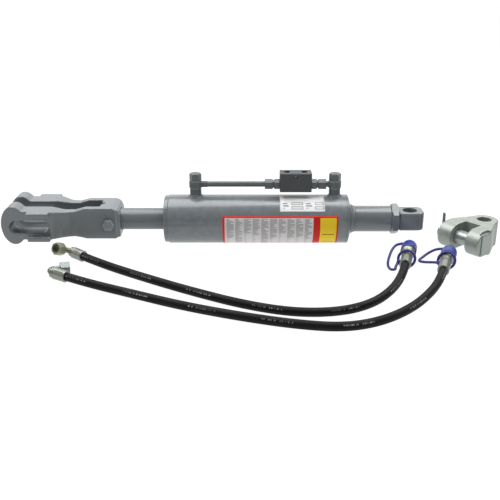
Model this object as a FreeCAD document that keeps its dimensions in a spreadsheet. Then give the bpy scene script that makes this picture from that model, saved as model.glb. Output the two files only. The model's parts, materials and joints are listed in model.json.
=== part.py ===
"""Hydraulic lift arm kit for a tractor linkage, as an assembly of separate pieces, in millimetres.

The arm lies along X with its fork at -X and its threaded eye at +X. A check-valve block, its
pipes and fittings stand on the cylinder. The clevis with its pin and two hoses lie beside it.
"""
import FreeCAD
import Part
import math
import os
import Sketcher
from FreeCAD import Placement, Rotation, Vector

# Driving dimensions: every one is a cell of the sheet, and every feature takes its size from there
SIZES = {
    # place of the arm axis over the floor origin
    "origin_x": 4.18,
    "origin_y": -17.66,
    # general fits and small breaks
    "run_fit": 0.05,
    "bolt_fit": 0.3,
    "edge_break": 1.0,
    "ring_break": 0.4,
    "cut_over": 1.0,
    # cylinder tube and its ends
    "tube_outer": 90.0,
    "tube_bore": 80.0,
    "tube_front": -150.0,
    "tube_length": 326.0,
    "cap_spigot": 12.0,
    "cap_flange": 4.3,
    "cap_taper": 5.1,
    "cap_nose_radius": 29.0,
    "sleeve_outer": 48.3,
    "sleeve_length": 76.1,
    "weld_leg": 5.0,
    "weld_length": 9.0,
    # gland and its rings
    "gland_flange": 7.5,
    "gland_outer": 87.0,
    "gland_spigot": 38.0,
    "gland_bore_fit": 0.1,
    "spanner_hole": 6.0,
    "spanner_depth": 5.0,
    "spanner_circle": 34.0,
    "spanner_holes": 4,
    "wiper_width": 6.5,
    "wiper_height": 4.0,
    "wiper_lip": 1.5,
    "seal_width": 8.0,
    "seal_height": 6.0,
    "seal_notch": 3.0,
    "guide_width": 10.0,
    "guide_height": 3.0,
    "ring_land": 6.0,
    "o_ring_section": 3.2,
    "o_ring_squash": 0.1,
    # rod, piston and stroke
    "rod_outer": 40.0,
    "rod_spigot": 28.0,
    "rod_front": -270.0,
    "retract_gap": 16.0,
    "piston_length": 50.0,
    "piston_clearance": 0.3,
    "piston_boss": 66.0,
    "piston_boss_length": 12.0,
    "piston_groove_depth": 5.0,
    "piston_recess": 54.0,
    "piston_recess_depth": 24.0,
    "piston_nut_flats": 41.0,
    "piston_nut_thickness": 18.0,
    # fork casting on the rod end
    "fork_tip": -451.0,
    "fork_head_centre": -428.0,
    "fork_head_height": 72.0,
    "fork_head_rise": 2.5,
    "fork_neck": -402.0,
    "fork_rail_end": -361.0,
    "fork_rail_reach": 60.0,
    "fork_rail_thickness": 9.3,
    "fork_rail_top": 29.5,
    "fork_rail_bottom": 24.5,
    "fork_cheek": 47.0,
    "fork_flare": 49.5,
    "fork_flare_start": -356.0,
    "fork_flare_bottom": 22.5,
    "fork_waist": -328.0,
    "fork_waist_half": 35.5,
    "fork_waist_top": 25.0,
    "fork_waist_bottom": 22.5,
    "fork_hub_start": -301.0,
    "fork_hub_end": -244.8,
    "fork_hub_half": 33.0,
    "fork_hub_top": 30.5,
    "fork_hub_bottom": 27.5,
    "fork_collar_half": 30.5,
    "fork_collar_width": 6.5,
    "fork_collar_bottom": 25.5,
    "fork_collar_round": 14.0,
    "fork_gap": 30.0,
    "fork_gap_wide": 37.0,
    "fork_gap_straight": 30.0,
    "fork_gap_widening": 32.0,
    "fork_gap_end": -275.5,
    "fork_notch": 8.0,
    "fork_notch_half": 6.0,
    "fork_slot_height": 24.0,
    "fork_slot_front": -436.0,
    "fork_slot_back": -364.0,
    "cross_bolt_x": -258.5,
    "cross_bolt": 12.0,
    "cross_bolt_flats": 18.0,
    "cross_bolt_head": 6.8,
    "cross_nut": 10.0,
    "cross_washer": 21.0,
    "cross_washer_thickness": 2.0,
    # eye end and its lock nut
    "eye_shank": 33.0,
    "eye_shank_length": 72.0,
    "lock_nut_flats": 52.0,
    "lock_nut_thickness": 13.5,
    "eye_length": 47.0,
    "eye_width": 42.0,
    "eye_thickness": 34.0,
    "eye_bore": 26.0,
    "eye_bore_back": 22.2,
    "eye_corner": 12.0,
    "eye_edge": 2.5,
    # ports, banjo unions and pipes
    "front_port_inset": 50.1,
    "rear_port_inset": 20.5,
    "port_bore": 8.0,
    "port_thread": 13.2,
    "boss_outer": 21.0,
    "boss_height": 14.5,
    "boss_weld": 3.5,
    "bonded_washer": 20.6,
    "bonded_washer_thickness": 1.8,
    "banjo_ring_outer": 23.5,
    "banjo_ring_height": 12.0,
    "banjo_bolt_flats": 19.0,
    "banjo_bolt_head": 12.5,
    "banjo_bolt_reach": 11.0,
    "banjo_bolt_bore": 7.0,
    "front_neck_reach": 21.9,
    "rear_neck_reach": 13.0,
    "neck_outer": 11.4,
    "pipe_outer": 10.0,
    "pipe_wall": 1.5,
    "pipe_socket": 4.0,
    # union nuts and stud fittings at the valve block
    "stud_hex_flats": 17.0,
    "stud_hex_length": 10.2,
    "stud_tail": 8.0,
    "stud_thread_outer": 13.8,
    "stud_thread_length": 9.8,
    "stud_bore": 7.0,
    "pipe_flare": 3.0,
    "spring_pocket": 4.0,
    "pipe_grip": 7.0,
    "cutting_ring_width": 4.0,
    "cutting_ring_height": 1.5,
    "union_nut_flats": 17.0,
    "union_nut_start": 12.6,
    "union_nut_length": 14.6,
    # check-valve block and what works inside it
    "block_from_port": 72.1,
    "block_length": 58.0,
    "block_depth": 28.0,
    "block_height": 35.0,
    "block_axis_drop": 11.9,
    "top_port_spacing": 31.6,
    "top_port_bore": 11.8,
    "top_port_depth": 12.0,
    "top_port_drill": 3.5,
    "top_port_drill_spacing": 23.8,
    "block_hole": 6.6,
    "block_hole_rise": 16.7,
    "pilot_bore": 7.0,
    "pilot_land": 10.0,
    "pilot_pin": 3.0,
    "pilot_reach": 11.2,
    "seat_place": 14.5,
    "poppet_chamber": 10.6,
    "poppet_outer": 9.2,
    "poppet_length": 8.6,
    "poppet_nose": 1.2,
    "poppet_pocket": 6.6,
    "poppet_pocket_depth": 5.0,
    "spring_outer": 6.0,
    "spring_wire": 0.9,
    "spring_turns": 4,
    # loose clevis, its pin and split pin
    "clevis_beyond_eye": 68.7,
    "clevis_y": -47.6,
    "clevis_turn": 40.0,
    "clevis_height": 48.0,
    "clevis_half_width": 43.5,
    "clevis_straight": 18.0,
    "clevis_shoulder": 20.0,
    "clevis_gap": 31.0,
    "clevis_gap_depth": 22.7,
    "tongue_reach": 57.0,
    "tongue_bore": 26.0,
    "tongue_end_radius": 25.0,
    "clevis_pin": 25.0,
    "pin_tail": 53.0,
    "pin_head_width": 25.0,
    "pin_head_height": 40.0,
    "pin_head_thickness": 8.0,
    "pin_groove_depth": 6.0,
    "split_pin_place": 48.5,
    "split_pin_wire": 5.4,
    "split_pin_hole": 6.0,
    "split_leg_tall": 36.5,
    "split_leg_short": 32.5,
    "split_slit": 0.5,
    "split_below": 2.0,
    "split_eye": 8.0,
    "split_eye_wire": 2.6,
    # hoses and what is on them
    "hose_outer": 14.4,
    "ferrule_outer": 20.0,
    "ferrule_length": 30.0,
    "crimp_depth": 0.7,
    "elbow_outer": 10.0,
    "elbow_bore": 6.0,
    "elbow_leg": 37.5,
    "elbow_drop": 16.5,
    "elbow_bend": 7.2,
    "swivel_flats": 20.0,
    "swivel_length": 16.0,
    "plug_ferrule_length": 34.0,
    "plug_neck": 19.0,
    "plug_neck_length": 24.0,
    "plug_collar": 25.4,
    "plug_collar_length": 12.0,
    "plug_nose": 16.0,
    "plug_nose_length": 18.0,
    "plug_groove_place": 4.0,
    "plug_groove_width": 3.0,
    "plug_groove_depth": 1.5,
    "cap_outer": 28.0,
    "cap_skirt": 22.0,
    "cap_length": 35.0,
    "cap_tip": 8.0,
    "cap_lap": 5.0,
    "cap_fit": 0.3,
    "tether_wire": 4.0,
    "tether_ring_radius": 14.6,
    "tether_ring_height": 14.9,
    "tether_ring_lean": 31.0,
    "tether_ring_yaw": 12.0,
    "tether_knot": 7.2,
    "tether_lug": 4.8,
    "ring_lug_length": 5.5,
    "cap_lug_length": 7.5,
}

HEX_CORNER = 1.0 / math.sqrt(3.0)
HEX_BEVEL = math.tan(math.radians(30.0))
# Rim circle of a bevelled hexagon, as a share of its size across flats
HEX_RIM = 0.97

doc = FreeCAD.newDocument("LiftArm")
sheet = doc.addObject("Spreadsheet::Sheet", "Sizes")
for row, (alias, number) in enumerate(SIZES.items(), start=1):
    sheet.set(f"A{row}", alias)
    sheet.set(f"B{row}", str(number))
    sheet.setAlias(f"B{row}", alias)
doc.recompute()


class Size:
    """A length with its number now and the sheet expression that it comes from."""

    def __init__(self, value, text):
        self.value = float(value)
        self.text = text

    def _with(self, other, sign, number):
        other = as_size(other)
        return Size(number(self.value, other.value), f"({self.text} {sign} {other.text})")

    def __add__(self, other):
        return self._with(other, "+", lambda a, b: a + b)

    def __sub__(self, other):
        return self._with(other, "-", lambda a, b: a - b)

    def __mul__(self, other):
        return self._with(other, "*", lambda a, b: a * b)

    def __truediv__(self, other):
        return self._with(other, "/", lambda a, b: a / b)

    def __radd__(self, other):
        return as_size(other) + self

    def __rsub__(self, other):
        return as_size(other) - self

    def __rmul__(self, other):
        return as_size(other) * self

    def __neg__(self):
        return Size(-self.value, f"(-1 * {self.text})")


def as_size(thing):
    """Take a plain number as a Size of its own."""
    if isinstance(thing, Size):
        return thing
    return Size(thing, f"{float(thing):.9f}" if thing >= 0 else f"(-{abs(float(thing)):.9f})")


class Sheet:
    """The sheet's cells as Size attributes."""

    def __getattr__(self, name):
        return Size(SIZES[name], f"Sizes.{name}")


s = Sheet()
parts = []


def bind(thing, path, size):
    """Drive one property of an object from the sheet."""
    size = as_size(size)
    if "Sizes." in size.text:
        thing.setExpression(path, size.text)


def place(thing, x=0.0, y=0.0, z=0.0, turn=None):
    """Put an object at a point, with its coordinates bound to the sheet."""
    point = [as_size(v) for v in (x, y, z)]
    thing.Placement = Placement(Vector(*[v.value for v in point]), turn or Rotation())
    for axis, size in zip("xyz", point):
        bind(thing, f"Placement.Base.{axis}", size)


def place_on_arm(thing, x=0.0, y=0.0, z=0.0, turn=None):
    """Put an object at a point given from the arm's own axis."""
    place(thing, x - s.origin_x, y - s.origin_y, z + s.tube_outer / 2, turn)


def place_on_floor(thing, x, y, z, turn=None):
    """Put an object at a point over the floor, with X and Y given as for the arm."""
    place(thing, x - s.origin_x, y - s.origin_y, z, turn)


def keep(thing, label):
    """Name an object as a sub-part that is written to its own file."""
    thing.Label = label
    parts.append(thing)
    return thing


# Sketch outlines

def add_outline(sketch, points):
    """Draw a closed outline through (x, y) corners, each one driven by the sheet."""
    corners = [(as_size(x), as_size(y)) for x, y in points]
    first = sketch.GeometryCount
    count = len(corners)
    for index, (x, y) in enumerate(corners):
        next_x, next_y = corners[(index + 1) % count]
        start = Vector(x.value, y.value, 0)
        end = Vector(next_x.value, next_y.value, 0)
        sketch.addGeometry(Part.LineSegment(start, end), False)
    for index in range(count):
        following = first + (index + 1) % count
        sketch.addConstraint(Sketcher.Constraint("Coincident", first + index, 2, following, 1))
    for index, (x, y) in enumerate(corners):
        for kind, size in (("DistanceX", x), ("DistanceY", y)):
            rule = Sketcher.Constraint(kind, -1, 1, first + index, 1, size.value)
            bind(sketch, f"Constraints[{sketch.addConstraint(rule)}]", size)


def add_circle(sketch, x, y, radius):
    """Draw a circle with its centre and radius driven by the sheet."""
    x, y, radius = as_size(x), as_size(y), as_size(radius)
    circle = Part.Circle(Vector(x.value, y.value, 0), Vector(0, 0, 1), radius.value)
    index = sketch.addGeometry(circle, False)
    for kind, size in (("DistanceX", x), ("DistanceY", y)):
        rule = Sketcher.Constraint(kind, -1, 1, index, 3, size.value)
        bind(sketch, f"Constraints[{sketch.addConstraint(rule)}]", size)
    rule = Sketcher.Constraint("Radius", index, radius.value)
    bind(sketch, f"Constraints[{sketch.addConstraint(rule)}]", radius)


def hexagon(flats, x=0.0, y=0.0, corner_up=True):
    """Give the corners of a hexagon from its size across flats."""
    corner = flats * HEX_CORNER
    first = 90.0 if corner_up else 0.0
    angles = [math.radians(first + 60.0 * step) for step in range(6)]
    return [(x + corner * math.cos(a), y + corner * math.sin(a)) for a in angles]


class Piece:
    """A sub-part made as a body, feature by feature, from sketches on its own origin planes."""

    def __init__(self, label, written=True):
        self.body = doc.addObject("PartDesign::Body", label)
        self.body.Label = label
        if written:
            parts.append(self.body)

    def sketch(self, plane, lift=0.0):
        """Start a sketch on an origin plane, lifted off it along its normal."""
        sketch = self.body.newObject("Sketcher::SketchObject", f"{self.body.Name}_sketch")
        planes = [o for o in self.body.Origin.OriginFeatures if o.Role == f"{plane}_Plane"]
        sketch.AttachmentSupport = (planes[0], [""])
        sketch.MapMode = "FlatFace"
        lift = as_size(lift)
        sketch.AttachmentOffset = Placement(Vector(0, 0, lift.value), Rotation())
        bind(sketch, "AttachmentOffset.Base.z", lift)
        return sketch

    def turn(self, points, about="H_Axis", cut=False):
        """Turn an outline in the XZ plane about X (H_Axis) or Z (V_Axis)."""
        sketch = self.sketch("XZ")
        add_outline(sketch, points)
        kind = "PartDesign::Groove" if cut else "PartDesign::Revolution"
        feature = self.body.newObject(kind, f"{self.body.Name}_turned")
        feature.Profile = sketch
        feature.ReferenceAxis = (sketch, [about])
        feature.Angle = 360.0
        return self._done(feature)

    def pad(self, plane, draw, length, lift=0.0, both=False, back=False):
        """Pad what the draw function puts in a sketch."""
        return self._prism("PartDesign::Pad", plane, draw, length, lift, both, back)

    def pocket(self, plane, draw, length, lift=0.0, both=False, back=False):
        """Cut what the draw function puts in a sketch."""
        return self._prism("PartDesign::Pocket", plane, draw, length, lift, both, back)

    def _prism(self, kind, plane, draw, length, lift, both, back):
        sketch = self.sketch(plane, lift)
        draw(sketch)
        feature = self.body.newObject(kind, f"{self.body.Name}_prism")
        feature.Profile = sketch
        feature.Midplane = both
        feature.Reversed = back
        length = as_size(length)
        feature.Length = length.value
        bind(feature, "Length", length)
        return self._done(feature)

    def round_edges(self, radius, chosen, chamfer=False):
        """Fillet or chamfer the edges that the chosen function accepts."""
        base = self.body.Tip
        names = [f"Edge{i}" for i, edge in enumerate(base.Shape.Edges, start=1) if chosen(edge)]
        kind = "PartDesign::Chamfer" if chamfer else "PartDesign::Fillet"
        feature = self.body.newObject(kind, f"{self.body.Name}_edges")
        feature.Base = (base, names)
        prop = "Size" if chamfer else "Radius"
        radius = as_size(radius)
        setattr(feature, prop, radius.value)
        bind(feature, prop, radius)
        return self._done(feature)

    def around(self, feature, plane_axis, count):
        """Repeat a feature round an origin axis of the body."""
        pattern = self.body.newObject("PartDesign::PolarPattern", f"{self.body.Name}_pattern")
        axes = [o for o in self.body.Origin.OriginFeatures if o.Role == plane_axis]
        pattern.Originals = [feature]
        pattern.Axis = (axes[0], [""])
        pattern.Angle = 360.0
        count = as_size(count)
        pattern.Occurrences = int(count.value)
        bind(pattern, "Occurrences", count)
        return self._done(pattern)

    def _done(self, feature):
        self.body.Tip = feature
        doc.recompute()
        return feature


def hex_piece(label, flats, length, bore, start=0.0, both_ends=True, corner_up=True):
    """Make a hexagon nut or collar along X, bevelled at its corners, with a round bore."""
    piece = Piece(label)
    piece.pad("YZ", lambda sk: add_outline(sk, hexagon(flats, corner_up=corner_up)), length, lift=start)
    corner = flats * HEX_CORNER
    rim = flats / 2 * HEX_RIM
    rise = (corner - rim) * HEX_BEVEL
    ends = [(start, 1.0), (start + length, -1.0)] if both_ends else [(start + length, -1.0)]
    for place_x, inward in ends:
        beyond = place_x - inward * s.cut_over
        piece.turn(
            [(beyond, rim), (place_x, rim), (place_x + inward * rise, corner),
             (place_x + inward * rise, corner + s.cut_over), (beyond, corner + s.cut_over)], cut=True)
    if bore is not None:
        piece.pocket("YZ", lambda sk: add_circle(sk, 0, 0, bore / 2), 2 * (length + 10), both=True,
                     lift=start + length / 2)
    return piece


def ring_piece(label, start, width, inner, outer, edge):
    """Make a plain ring about X with lightly broken edges; radii are given."""
    piece = Piece(label)
    end = start + width
    piece.turn([(start, inner), (end, inner), (end, outer - edge), (end - edge, outer),
                (start + edge, outer), (start, outer - edge)])
    return piece


# Cylinder: tube, gland with its rings, rear cap, sleeve and weld

tube_radius = s.tube_outer / 2
bore_radius = s.tube_bore / 2
rod_radius = s.rod_outer / 2
tube_back = s.tube_front + s.tube_length
front_port = s.tube_front + s.front_port_inset
rear_port = tube_back - s.rear_port_inset
cap_back = tube_back + s.cap_flange + s.cap_taper
sleeve_back = cap_back + s.sleeve_length


def make_tube():
    piece = Piece("barrel_tube")
    edge = s.edge_break
    piece.turn([(s.tube_front, bore_radius), (tube_back, bore_radius), (tube_back, tube_radius),
                (s.tube_front + edge, tube_radius), (s.tube_front, tube_radius - edge)])
    for port in (front_port, rear_port):
        piece.pocket("XY", lambda sk: add_circle(sk, port, 0, s.port_bore / 2), tube_radius + s.cut_over,
                     back=True)
    place_on_arm(piece.body)


gland_front = s.tube_front - s.gland_flange
gland_back = s.tube_front + s.gland_spigot
guide_start = gland_back - s.ring_land - s.guide_width
seal_start = guide_start - s.ring_land - s.seal_width
o_ring_start = s.tube_front + s.gland_spigot / 2
gland_bore = rod_radius + s.gland_bore_fit
spigot_radius = bore_radius - s.run_fit
o_ring_floor = spigot_radius - s.o_ring_section * 0.85


def make_gland():
    piece = Piece("head_gland")
    edge = s.edge_break
    outer = s.gland_outer / 2
    wiper_back = gland_front + s.wiper_width
    piece.turn([
        (gland_front, rod_radius + s.wiper_height), (gland_front, outer - edge),
        (gland_front + edge, outer),
        (s.tube_front, outer), (s.tube_front, spigot_radius),
        (o_ring_start, spigot_radius), (o_ring_start, o_ring_floor),
        (o_ring_start + s.o_ring_section * 1.25, o_ring_floor),
        (o_ring_start + s.o_ring_section * 1.25, spigot_radius),
        (gland_back - edge, spigot_radius), (gland_back, spigot_radius - edge),
        (gland_back, gland_bore),
        (guide_start + s.guide_width, gland_bore),
        (guide_start + s.guide_width, rod_radius + s.guide_height),
        (guide_start, rod_radius + s.guide_height), (guide_start, gland_bore),
        (seal_start + s.seal_width, gland_bore), (seal_start + s.seal_width, rod_radius + s.seal_height),
        (seal_start, rod_radius + s.seal_height), (seal_start, gland_bore),
        (wiper_back, gland_bore), (wiper_back, rod_radius + s.wiper_height)])
    hole = piece.pocket("YZ", lambda sk: add_circle(sk, 0, s.spanner_circle, s.spanner_hole / 2),
                        s.spanner_depth, lift=gland_front, back=True)
    piece.around(hole, "X_Axis", s.spanner_holes)
    place_on_arm(piece.body)


def make_gland_rings():
    inner = rod_radius + s.run_fit
    wiper = Piece("wiper_ring")
    wiper_back = gland_front + s.wiper_width
    lip = gland_front - s.wiper_lip
    wiper.turn([(lip, inner), (wiper_back, inner), (wiper_back, rod_radius + s.wiper_height),
                (gland_front, rod_radius + s.wiper_height), (lip, inner + s.wiper_lip * 0.8)])
    seal = Piece("rod_seal")
    seal_back = seal_start + s.seal_width
    seal_top = rod_radius + s.seal_height
    middle = rod_radius + s.seal_height / 2
    notch = s.seal_notch
    seal.turn([(seal_start, inner), (seal_back, inner), (seal_back, middle - notch / 3),
               (seal_back - notch, middle), (seal_back, middle + notch / 3), (seal_back, seal_top),
               (seal_start, seal_top)])
    guide = ring_piece("gland_guide_ring", guide_start, s.guide_width, inner, rod_radius + s.guide_height,
                       s.ring_break / 2)
    packing = Piece("gland_o_ring")
    side = s.o_ring_section * s.o_ring_squash
    packing.turn([
        (o_ring_start + side, o_ring_floor), (o_ring_start + s.o_ring_section + side, o_ring_floor),
        (o_ring_start + s.o_ring_section + 2 * side, o_ring_floor + 3 * side),
        (o_ring_start + s.o_ring_section + side, bore_radius),
        (o_ring_start + side, bore_radius), (o_ring_start, o_ring_floor + 3 * side)])
    for piece in (wiper, seal, guide, packing):
        place_on_arm(piece.body)


# Hollow face of the sleeve's weld, in shares of its length and of its leg
HOLLOW_FACE = [(1.0, 0.0), (0.62, 0.12), (0.35, 0.32), (0.15, 0.6), (0.04, 0.85), (0.0, 1.0)]


def make_rear_end():
    cap = Piece("rear_cap")
    front = tube_back - s.cap_spigot
    edge = s.edge_break
    flange = tube_back + s.cap_flange
    cap.turn([(front, 0), (front, spigot_radius - edge), (front + edge, spigot_radius),
              (tube_back, spigot_radius), (tube_back, tube_radius), (flange, tube_radius),
              (cap_back, s.cap_nose_radius), (cap_back, 0)])
    sleeve = Piece("end_sleeve")
    inner = s.eye_shank / 2 + s.run_fit * 2
    outer = s.sleeve_outer / 2
    sleeve.turn([(cap_back, inner), (sleeve_back - edge, inner), (sleeve_back, inner + edge),
                 (sleeve_back, outer - edge), (sleeve_back - edge, outer), (cap_back, outer)])
    bead = Piece("sleeve_weld_bead", written=False)
    face = [(cap_back + s.weld_length * along, outer + s.weld_leg * up) for along, up in HOLLOW_FACE]
    bead.turn([(cap_back, outer)] + face)
    for piece in (cap, sleeve, bead):
        place_on_arm(piece.body)
    return bead.body


# Rod, piston and what is fixed to them

piston_back = tube_back - s.cap_spigot - s.retract_gap
rod_shoulder = piston_back - s.piston_length
nut_floor = piston_back - s.piston_recess_depth
piston_radius = bore_radius - s.piston_clearance
groove_floor = piston_radius - s.piston_groove_depth
piston_body_front = rod_shoulder + s.piston_boss_length
piston_guide_start = piston_body_front + s.ring_land / 2
piston_seal_start = piston_guide_start + s.guide_width + s.ring_land


def make_rod():
    piece = Piece("piston_rod")
    spigot = s.rod_spigot / 2
    edge = s.edge_break
    tail = nut_floor + s.piston_nut_thickness + 2
    piece.turn([(s.rod_front, 0), (s.rod_front, rod_radius - edge), (s.rod_front + edge, rod_radius),
                (rod_shoulder, rod_radius), (rod_shoulder, spigot), (tail - edge, spigot),
                (tail, spigot - edge), (tail, 0)])
    hole = (s.cross_bolt + s.bolt_fit) / 2
    piece.pocket("XZ", lambda sk: add_circle(sk, s.cross_bolt_x, 0, hole), s.rod_outer + 2, both=True)
    place_on_arm(piece.body)


def make_piston():
    piece = Piece("piston")
    boss = s.piston_boss / 2
    spigot = s.rod_spigot / 2 + s.run_fit
    recess = s.piston_recess / 2
    edge = s.edge_break
    guide_end = piston_guide_start + s.guide_width
    seal_end = piston_seal_start + s.seal_width
    piece.turn([
        (rod_shoulder, spigot), (rod_shoulder, boss - edge), (rod_shoulder + edge, boss),
        (piston_body_front, boss), (piston_body_front, piston_radius),
        (piston_guide_start, piston_radius), (piston_guide_start, groove_floor),
        (guide_end, groove_floor), (guide_end, piston_radius),
        (piston_seal_start, piston_radius), (piston_seal_start, groove_floor),
        (seal_end, groove_floor), (seal_end, piston_radius),
        (piston_back - edge, piston_radius), (piston_back, piston_radius - edge),
        (piston_back, recess), (nut_floor, recess), (nut_floor, spigot)])
    nut = hex_piece("piston_nut", s.piston_nut_flats, s.piston_nut_thickness,
                    s.rod_spigot + 2 * s.run_fit, start=nut_floor)
    seat = groove_floor + s.run_fit
    outer = bore_radius - s.run_fit
    play = s.run_fit
    guide = ring_piece("piston_guide_ring", piston_guide_start + play, s.guide_width - 2 * play, seat, outer,
                       s.ring_break)
    seal = ring_piece("piston_seal", piston_seal_start + play, s.seal_width - 2 * play, seat, outer,
                      s.ring_break * 2)
    for made in (piece, nut, guide, seal):
        place_on_arm(made.body)


# Fork: two cheeks with slotted heads and rails, drawn out of one casting with the clamp hub.
# It is the part's most skilled feature: a plan outline and a side outline are extruded and kept
# where they meet, so the waist narrows both ways at once, then the heads, rails, gap and slots follow.

def loose_sketch(name, draw, upright):
    """Draw a sketch in the XY plane, or in the XZ plane if upright."""
    sketch = doc.addObject("Sketcher::SketchObject", name)
    if upright:
        sketch.Placement = Placement(Vector(), Rotation(Vector(1, 0, 0), 90))
    draw(sketch)
    return sketch


def extrude(name, sketch, length, direction):
    """Extrude a sketch equally to both sides along a direction."""
    solid = doc.addObject("Part::Extrusion", name)
    solid.Base = sketch
    solid.DirMode = "Custom"
    solid.Dir = direction
    solid.Symmetric = True
    solid.Solid = True
    length = as_size(length)
    solid.LengthFwd = length.value
    bind(solid, "LengthFwd", length)
    return solid


def combine(kind, name, base, tool):
    """Cut, fuse or intersect two solids."""
    result = doc.addObject(f"Part::{kind}", name)
    result.Base = base
    result.Tool = tool
    return result


def cylinder(name, radius, height, x=0.0, y=0.0, z=0.0, turn=None):
    """Make a cylinder at a point, along Z unless turned."""
    solid = doc.addObject("Part::Cylinder", name)
    radius, height = as_size(radius), as_size(height)
    solid.Radius = radius.value
    solid.Height = height.value
    bind(solid, "Radius", radius)
    bind(solid, "Height", height)
    place(solid, x, y, z, turn)
    return solid


def box(name, length, width, height, x, y, z):
    """Make a box from its lowest corner."""
    solid = doc.addObject("Part::Box", name)
    for prop, size in (("Length", length), ("Width", width), ("Height", height)):
        size = as_size(size)
        setattr(solid, prop, size.value)
        bind(solid, prop, size)
    place(solid, x, y, z)
    return solid


ALONG_X = Rotation(Vector(0, 1, 0), 90)
ALONG_Y = Rotation(Vector(1, 0, 0), -90)
UP = Vector(0, 0, 1)
ACROSS = Vector(0, 1, 0)


collar_end = s.fork_hub_end + s.fork_collar_width


def fork_plan(sketch):
    """Outline from above, one side and then the other."""
    collar = s.fork_collar_half
    edge = 2 * s.edge_break
    side = [(collar_end, collar - edge), (collar_end - edge, collar), (s.fork_hub_end, collar),
            (s.fork_hub_end, s.fork_hub_half),
            (s.fork_hub_start, s.fork_hub_half),
            (s.fork_waist, s.fork_waist_half),
            ((s.fork_waist + s.fork_flare_start) / 2, (s.fork_waist_half + s.fork_flare) / 2 - 1.5),
            (s.fork_flare_start, s.fork_flare), (s.fork_rail_end - 1, s.fork_flare),
            (s.fork_rail_end - 4, s.fork_cheek), (s.fork_tip, s.fork_cheek)]
    add_outline(sketch, side + [(x, -y) for x, y in reversed(side)])


def fork_side(sketch):
    """Outline from the side, from the hub to the neck behind the head."""
    hub_top, hub_bottom = s.fork_hub_top, -s.fork_hub_bottom
    top, bottom = s.fork_rail_top, -s.fork_rail_bottom
    bend = s.fork_collar_round
    add_outline(sketch, [
        (collar_end, hub_top - bend), (collar_end - bend * 0.3, hub_top - bend * 0.3),
        (collar_end - bend, hub_top),
        (s.fork_hub_start, hub_top),
        (s.fork_waist + 8, s.fork_waist_top), (s.fork_waist - 8, s.fork_waist_top),
        (s.fork_flare_start, top - 1), (s.fork_rail_end, top), (s.fork_neck, top),
        (s.fork_head_centre, top), (s.fork_head_centre, bottom), (s.fork_neck, bottom),
        (s.fork_rail_end, bottom), (s.fork_rail_end, -s.fork_flare_bottom),
        (s.fork_flare_start, -s.fork_flare_bottom),
        (s.fork_waist - 8, -s.fork_waist_bottom), (s.fork_waist + 8, -s.fork_waist_bottom),
        (s.fork_hub_start, hub_bottom), (s.fork_hub_end, hub_bottom), (s.fork_hub_end, -s.fork_collar_bottom),
        (collar_end, -s.fork_collar_bottom)])


def fork_gap(sketch):
    """The gap between the cheeks, narrower at the head, with a notch at its inner end."""
    beyond = s.fork_tip - 10
    wide = s.fork_gap_wide / 2
    widening = s.fork_neck + s.fork_gap_straight
    side = [(beyond, s.fork_gap / 2), (widening, s.fork_gap / 2), (widening + s.fork_gap_widening, wide),
            (s.fork_gap_end, wide), (s.fork_gap_end, s.fork_notch_half)]
    tip = [(s.fork_gap_end + s.fork_notch, 0)]
    add_outline(sketch, side + tip + [(x, -y) for x, y in reversed(side)])


def make_fork():
    deep = s.fork_head_height + 10
    wide = s.fork_rail_reach * 2 + 10
    plan = extrude("fork_plan", loose_sketch("fork_plan_lines", fork_plan, False), deep, UP)
    side = extrude("fork_side", loose_sketch("fork_side_lines", fork_side, True), wide, ACROSS)
    core = combine("Common", "fork_core", plan, side)
    head_edge = doc.addObject("Part::Ellipse", "fork_head_edge")
    head_edge.MajorRadius = (s.fork_head_height / 2).value
    head_edge.MinorRadius = (s.fork_head_centre - s.fork_tip).value
    bind(head_edge, "MajorRadius", s.fork_head_height / 2)
    bind(head_edge, "MinorRadius", s.fork_head_centre - s.fork_tip)
    upright = Rotation(Vector(0, 0, 1), Vector(1, 0, 0), Vector(0, 1, 0), "ZXY")
    place(head_edge, s.fork_head_centre, 0, s.fork_head_rise, upright)
    head = extrude("fork_head", head_edge, s.fork_cheek * 2, ACROSS)
    solids = [core, head]
    rail_length = s.fork_rail_end - s.fork_neck
    thick = s.fork_rail_thickness
    for rail, (z, reach) in enumerate(((s.fork_rail_top - thick, 1), (-s.fork_rail_bottom, 1),
                                       (s.fork_rail_top - thick, -1), (-s.fork_rail_bottom, -1))):
        inner = s.fork_cheek - 2
        y = inner if reach > 0 else -s.fork_rail_reach
        solids.append(box(f"fork_rail_{rail}", rail_length, s.fork_rail_reach - inner, thick, s.fork_neck, y,
                          z))
    whole = doc.addObject("Part::MultiFuse", "fork_whole")
    whole.Shapes = solids
    gap = extrude("fork_gap", loose_sketch("fork_gap_lines", fork_gap, False), deep, UP)
    middle = s.fork_slot_height / 2
    slot_front = s.fork_slot_front + middle
    slot_back = s.fork_slot_back - middle
    cuts = [gap]
    cuts.append(box("fork_slot", slot_back - slot_front, wide, s.fork_slot_height, slot_front, -wide / 2,
                    -middle))
    cuts.append(cylinder("fork_slot_front_end", middle, wide, slot_front, -wide / 2, 0, ALONG_Y))
    cuts.append(cylinder("fork_slot_back_end", middle, wide, slot_back, -wide / 2, 0, ALONG_Y))
    rod_bore = rod_radius + s.run_fit
    hub_depth = collar_end - s.rod_front
    cuts.append(cylinder("fork_rod_bore", rod_bore, hub_depth + 2, s.rod_front, 0, 0, ALONG_X))
    hole = (s.cross_bolt + s.bolt_fit) / 2
    cuts.append(cylinder("fork_bolt_bore", hole, wide, s.cross_bolt_x, -wide / 2, 0, ALONG_Y))
    tools = doc.addObject("Part::MultiFuse", "fork_cuts")
    tools.Shapes = cuts
    fork = combine("Cut", "fork", whole, tools)
    keep(fork, "fork")
    place_on_arm(fork)


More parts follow.
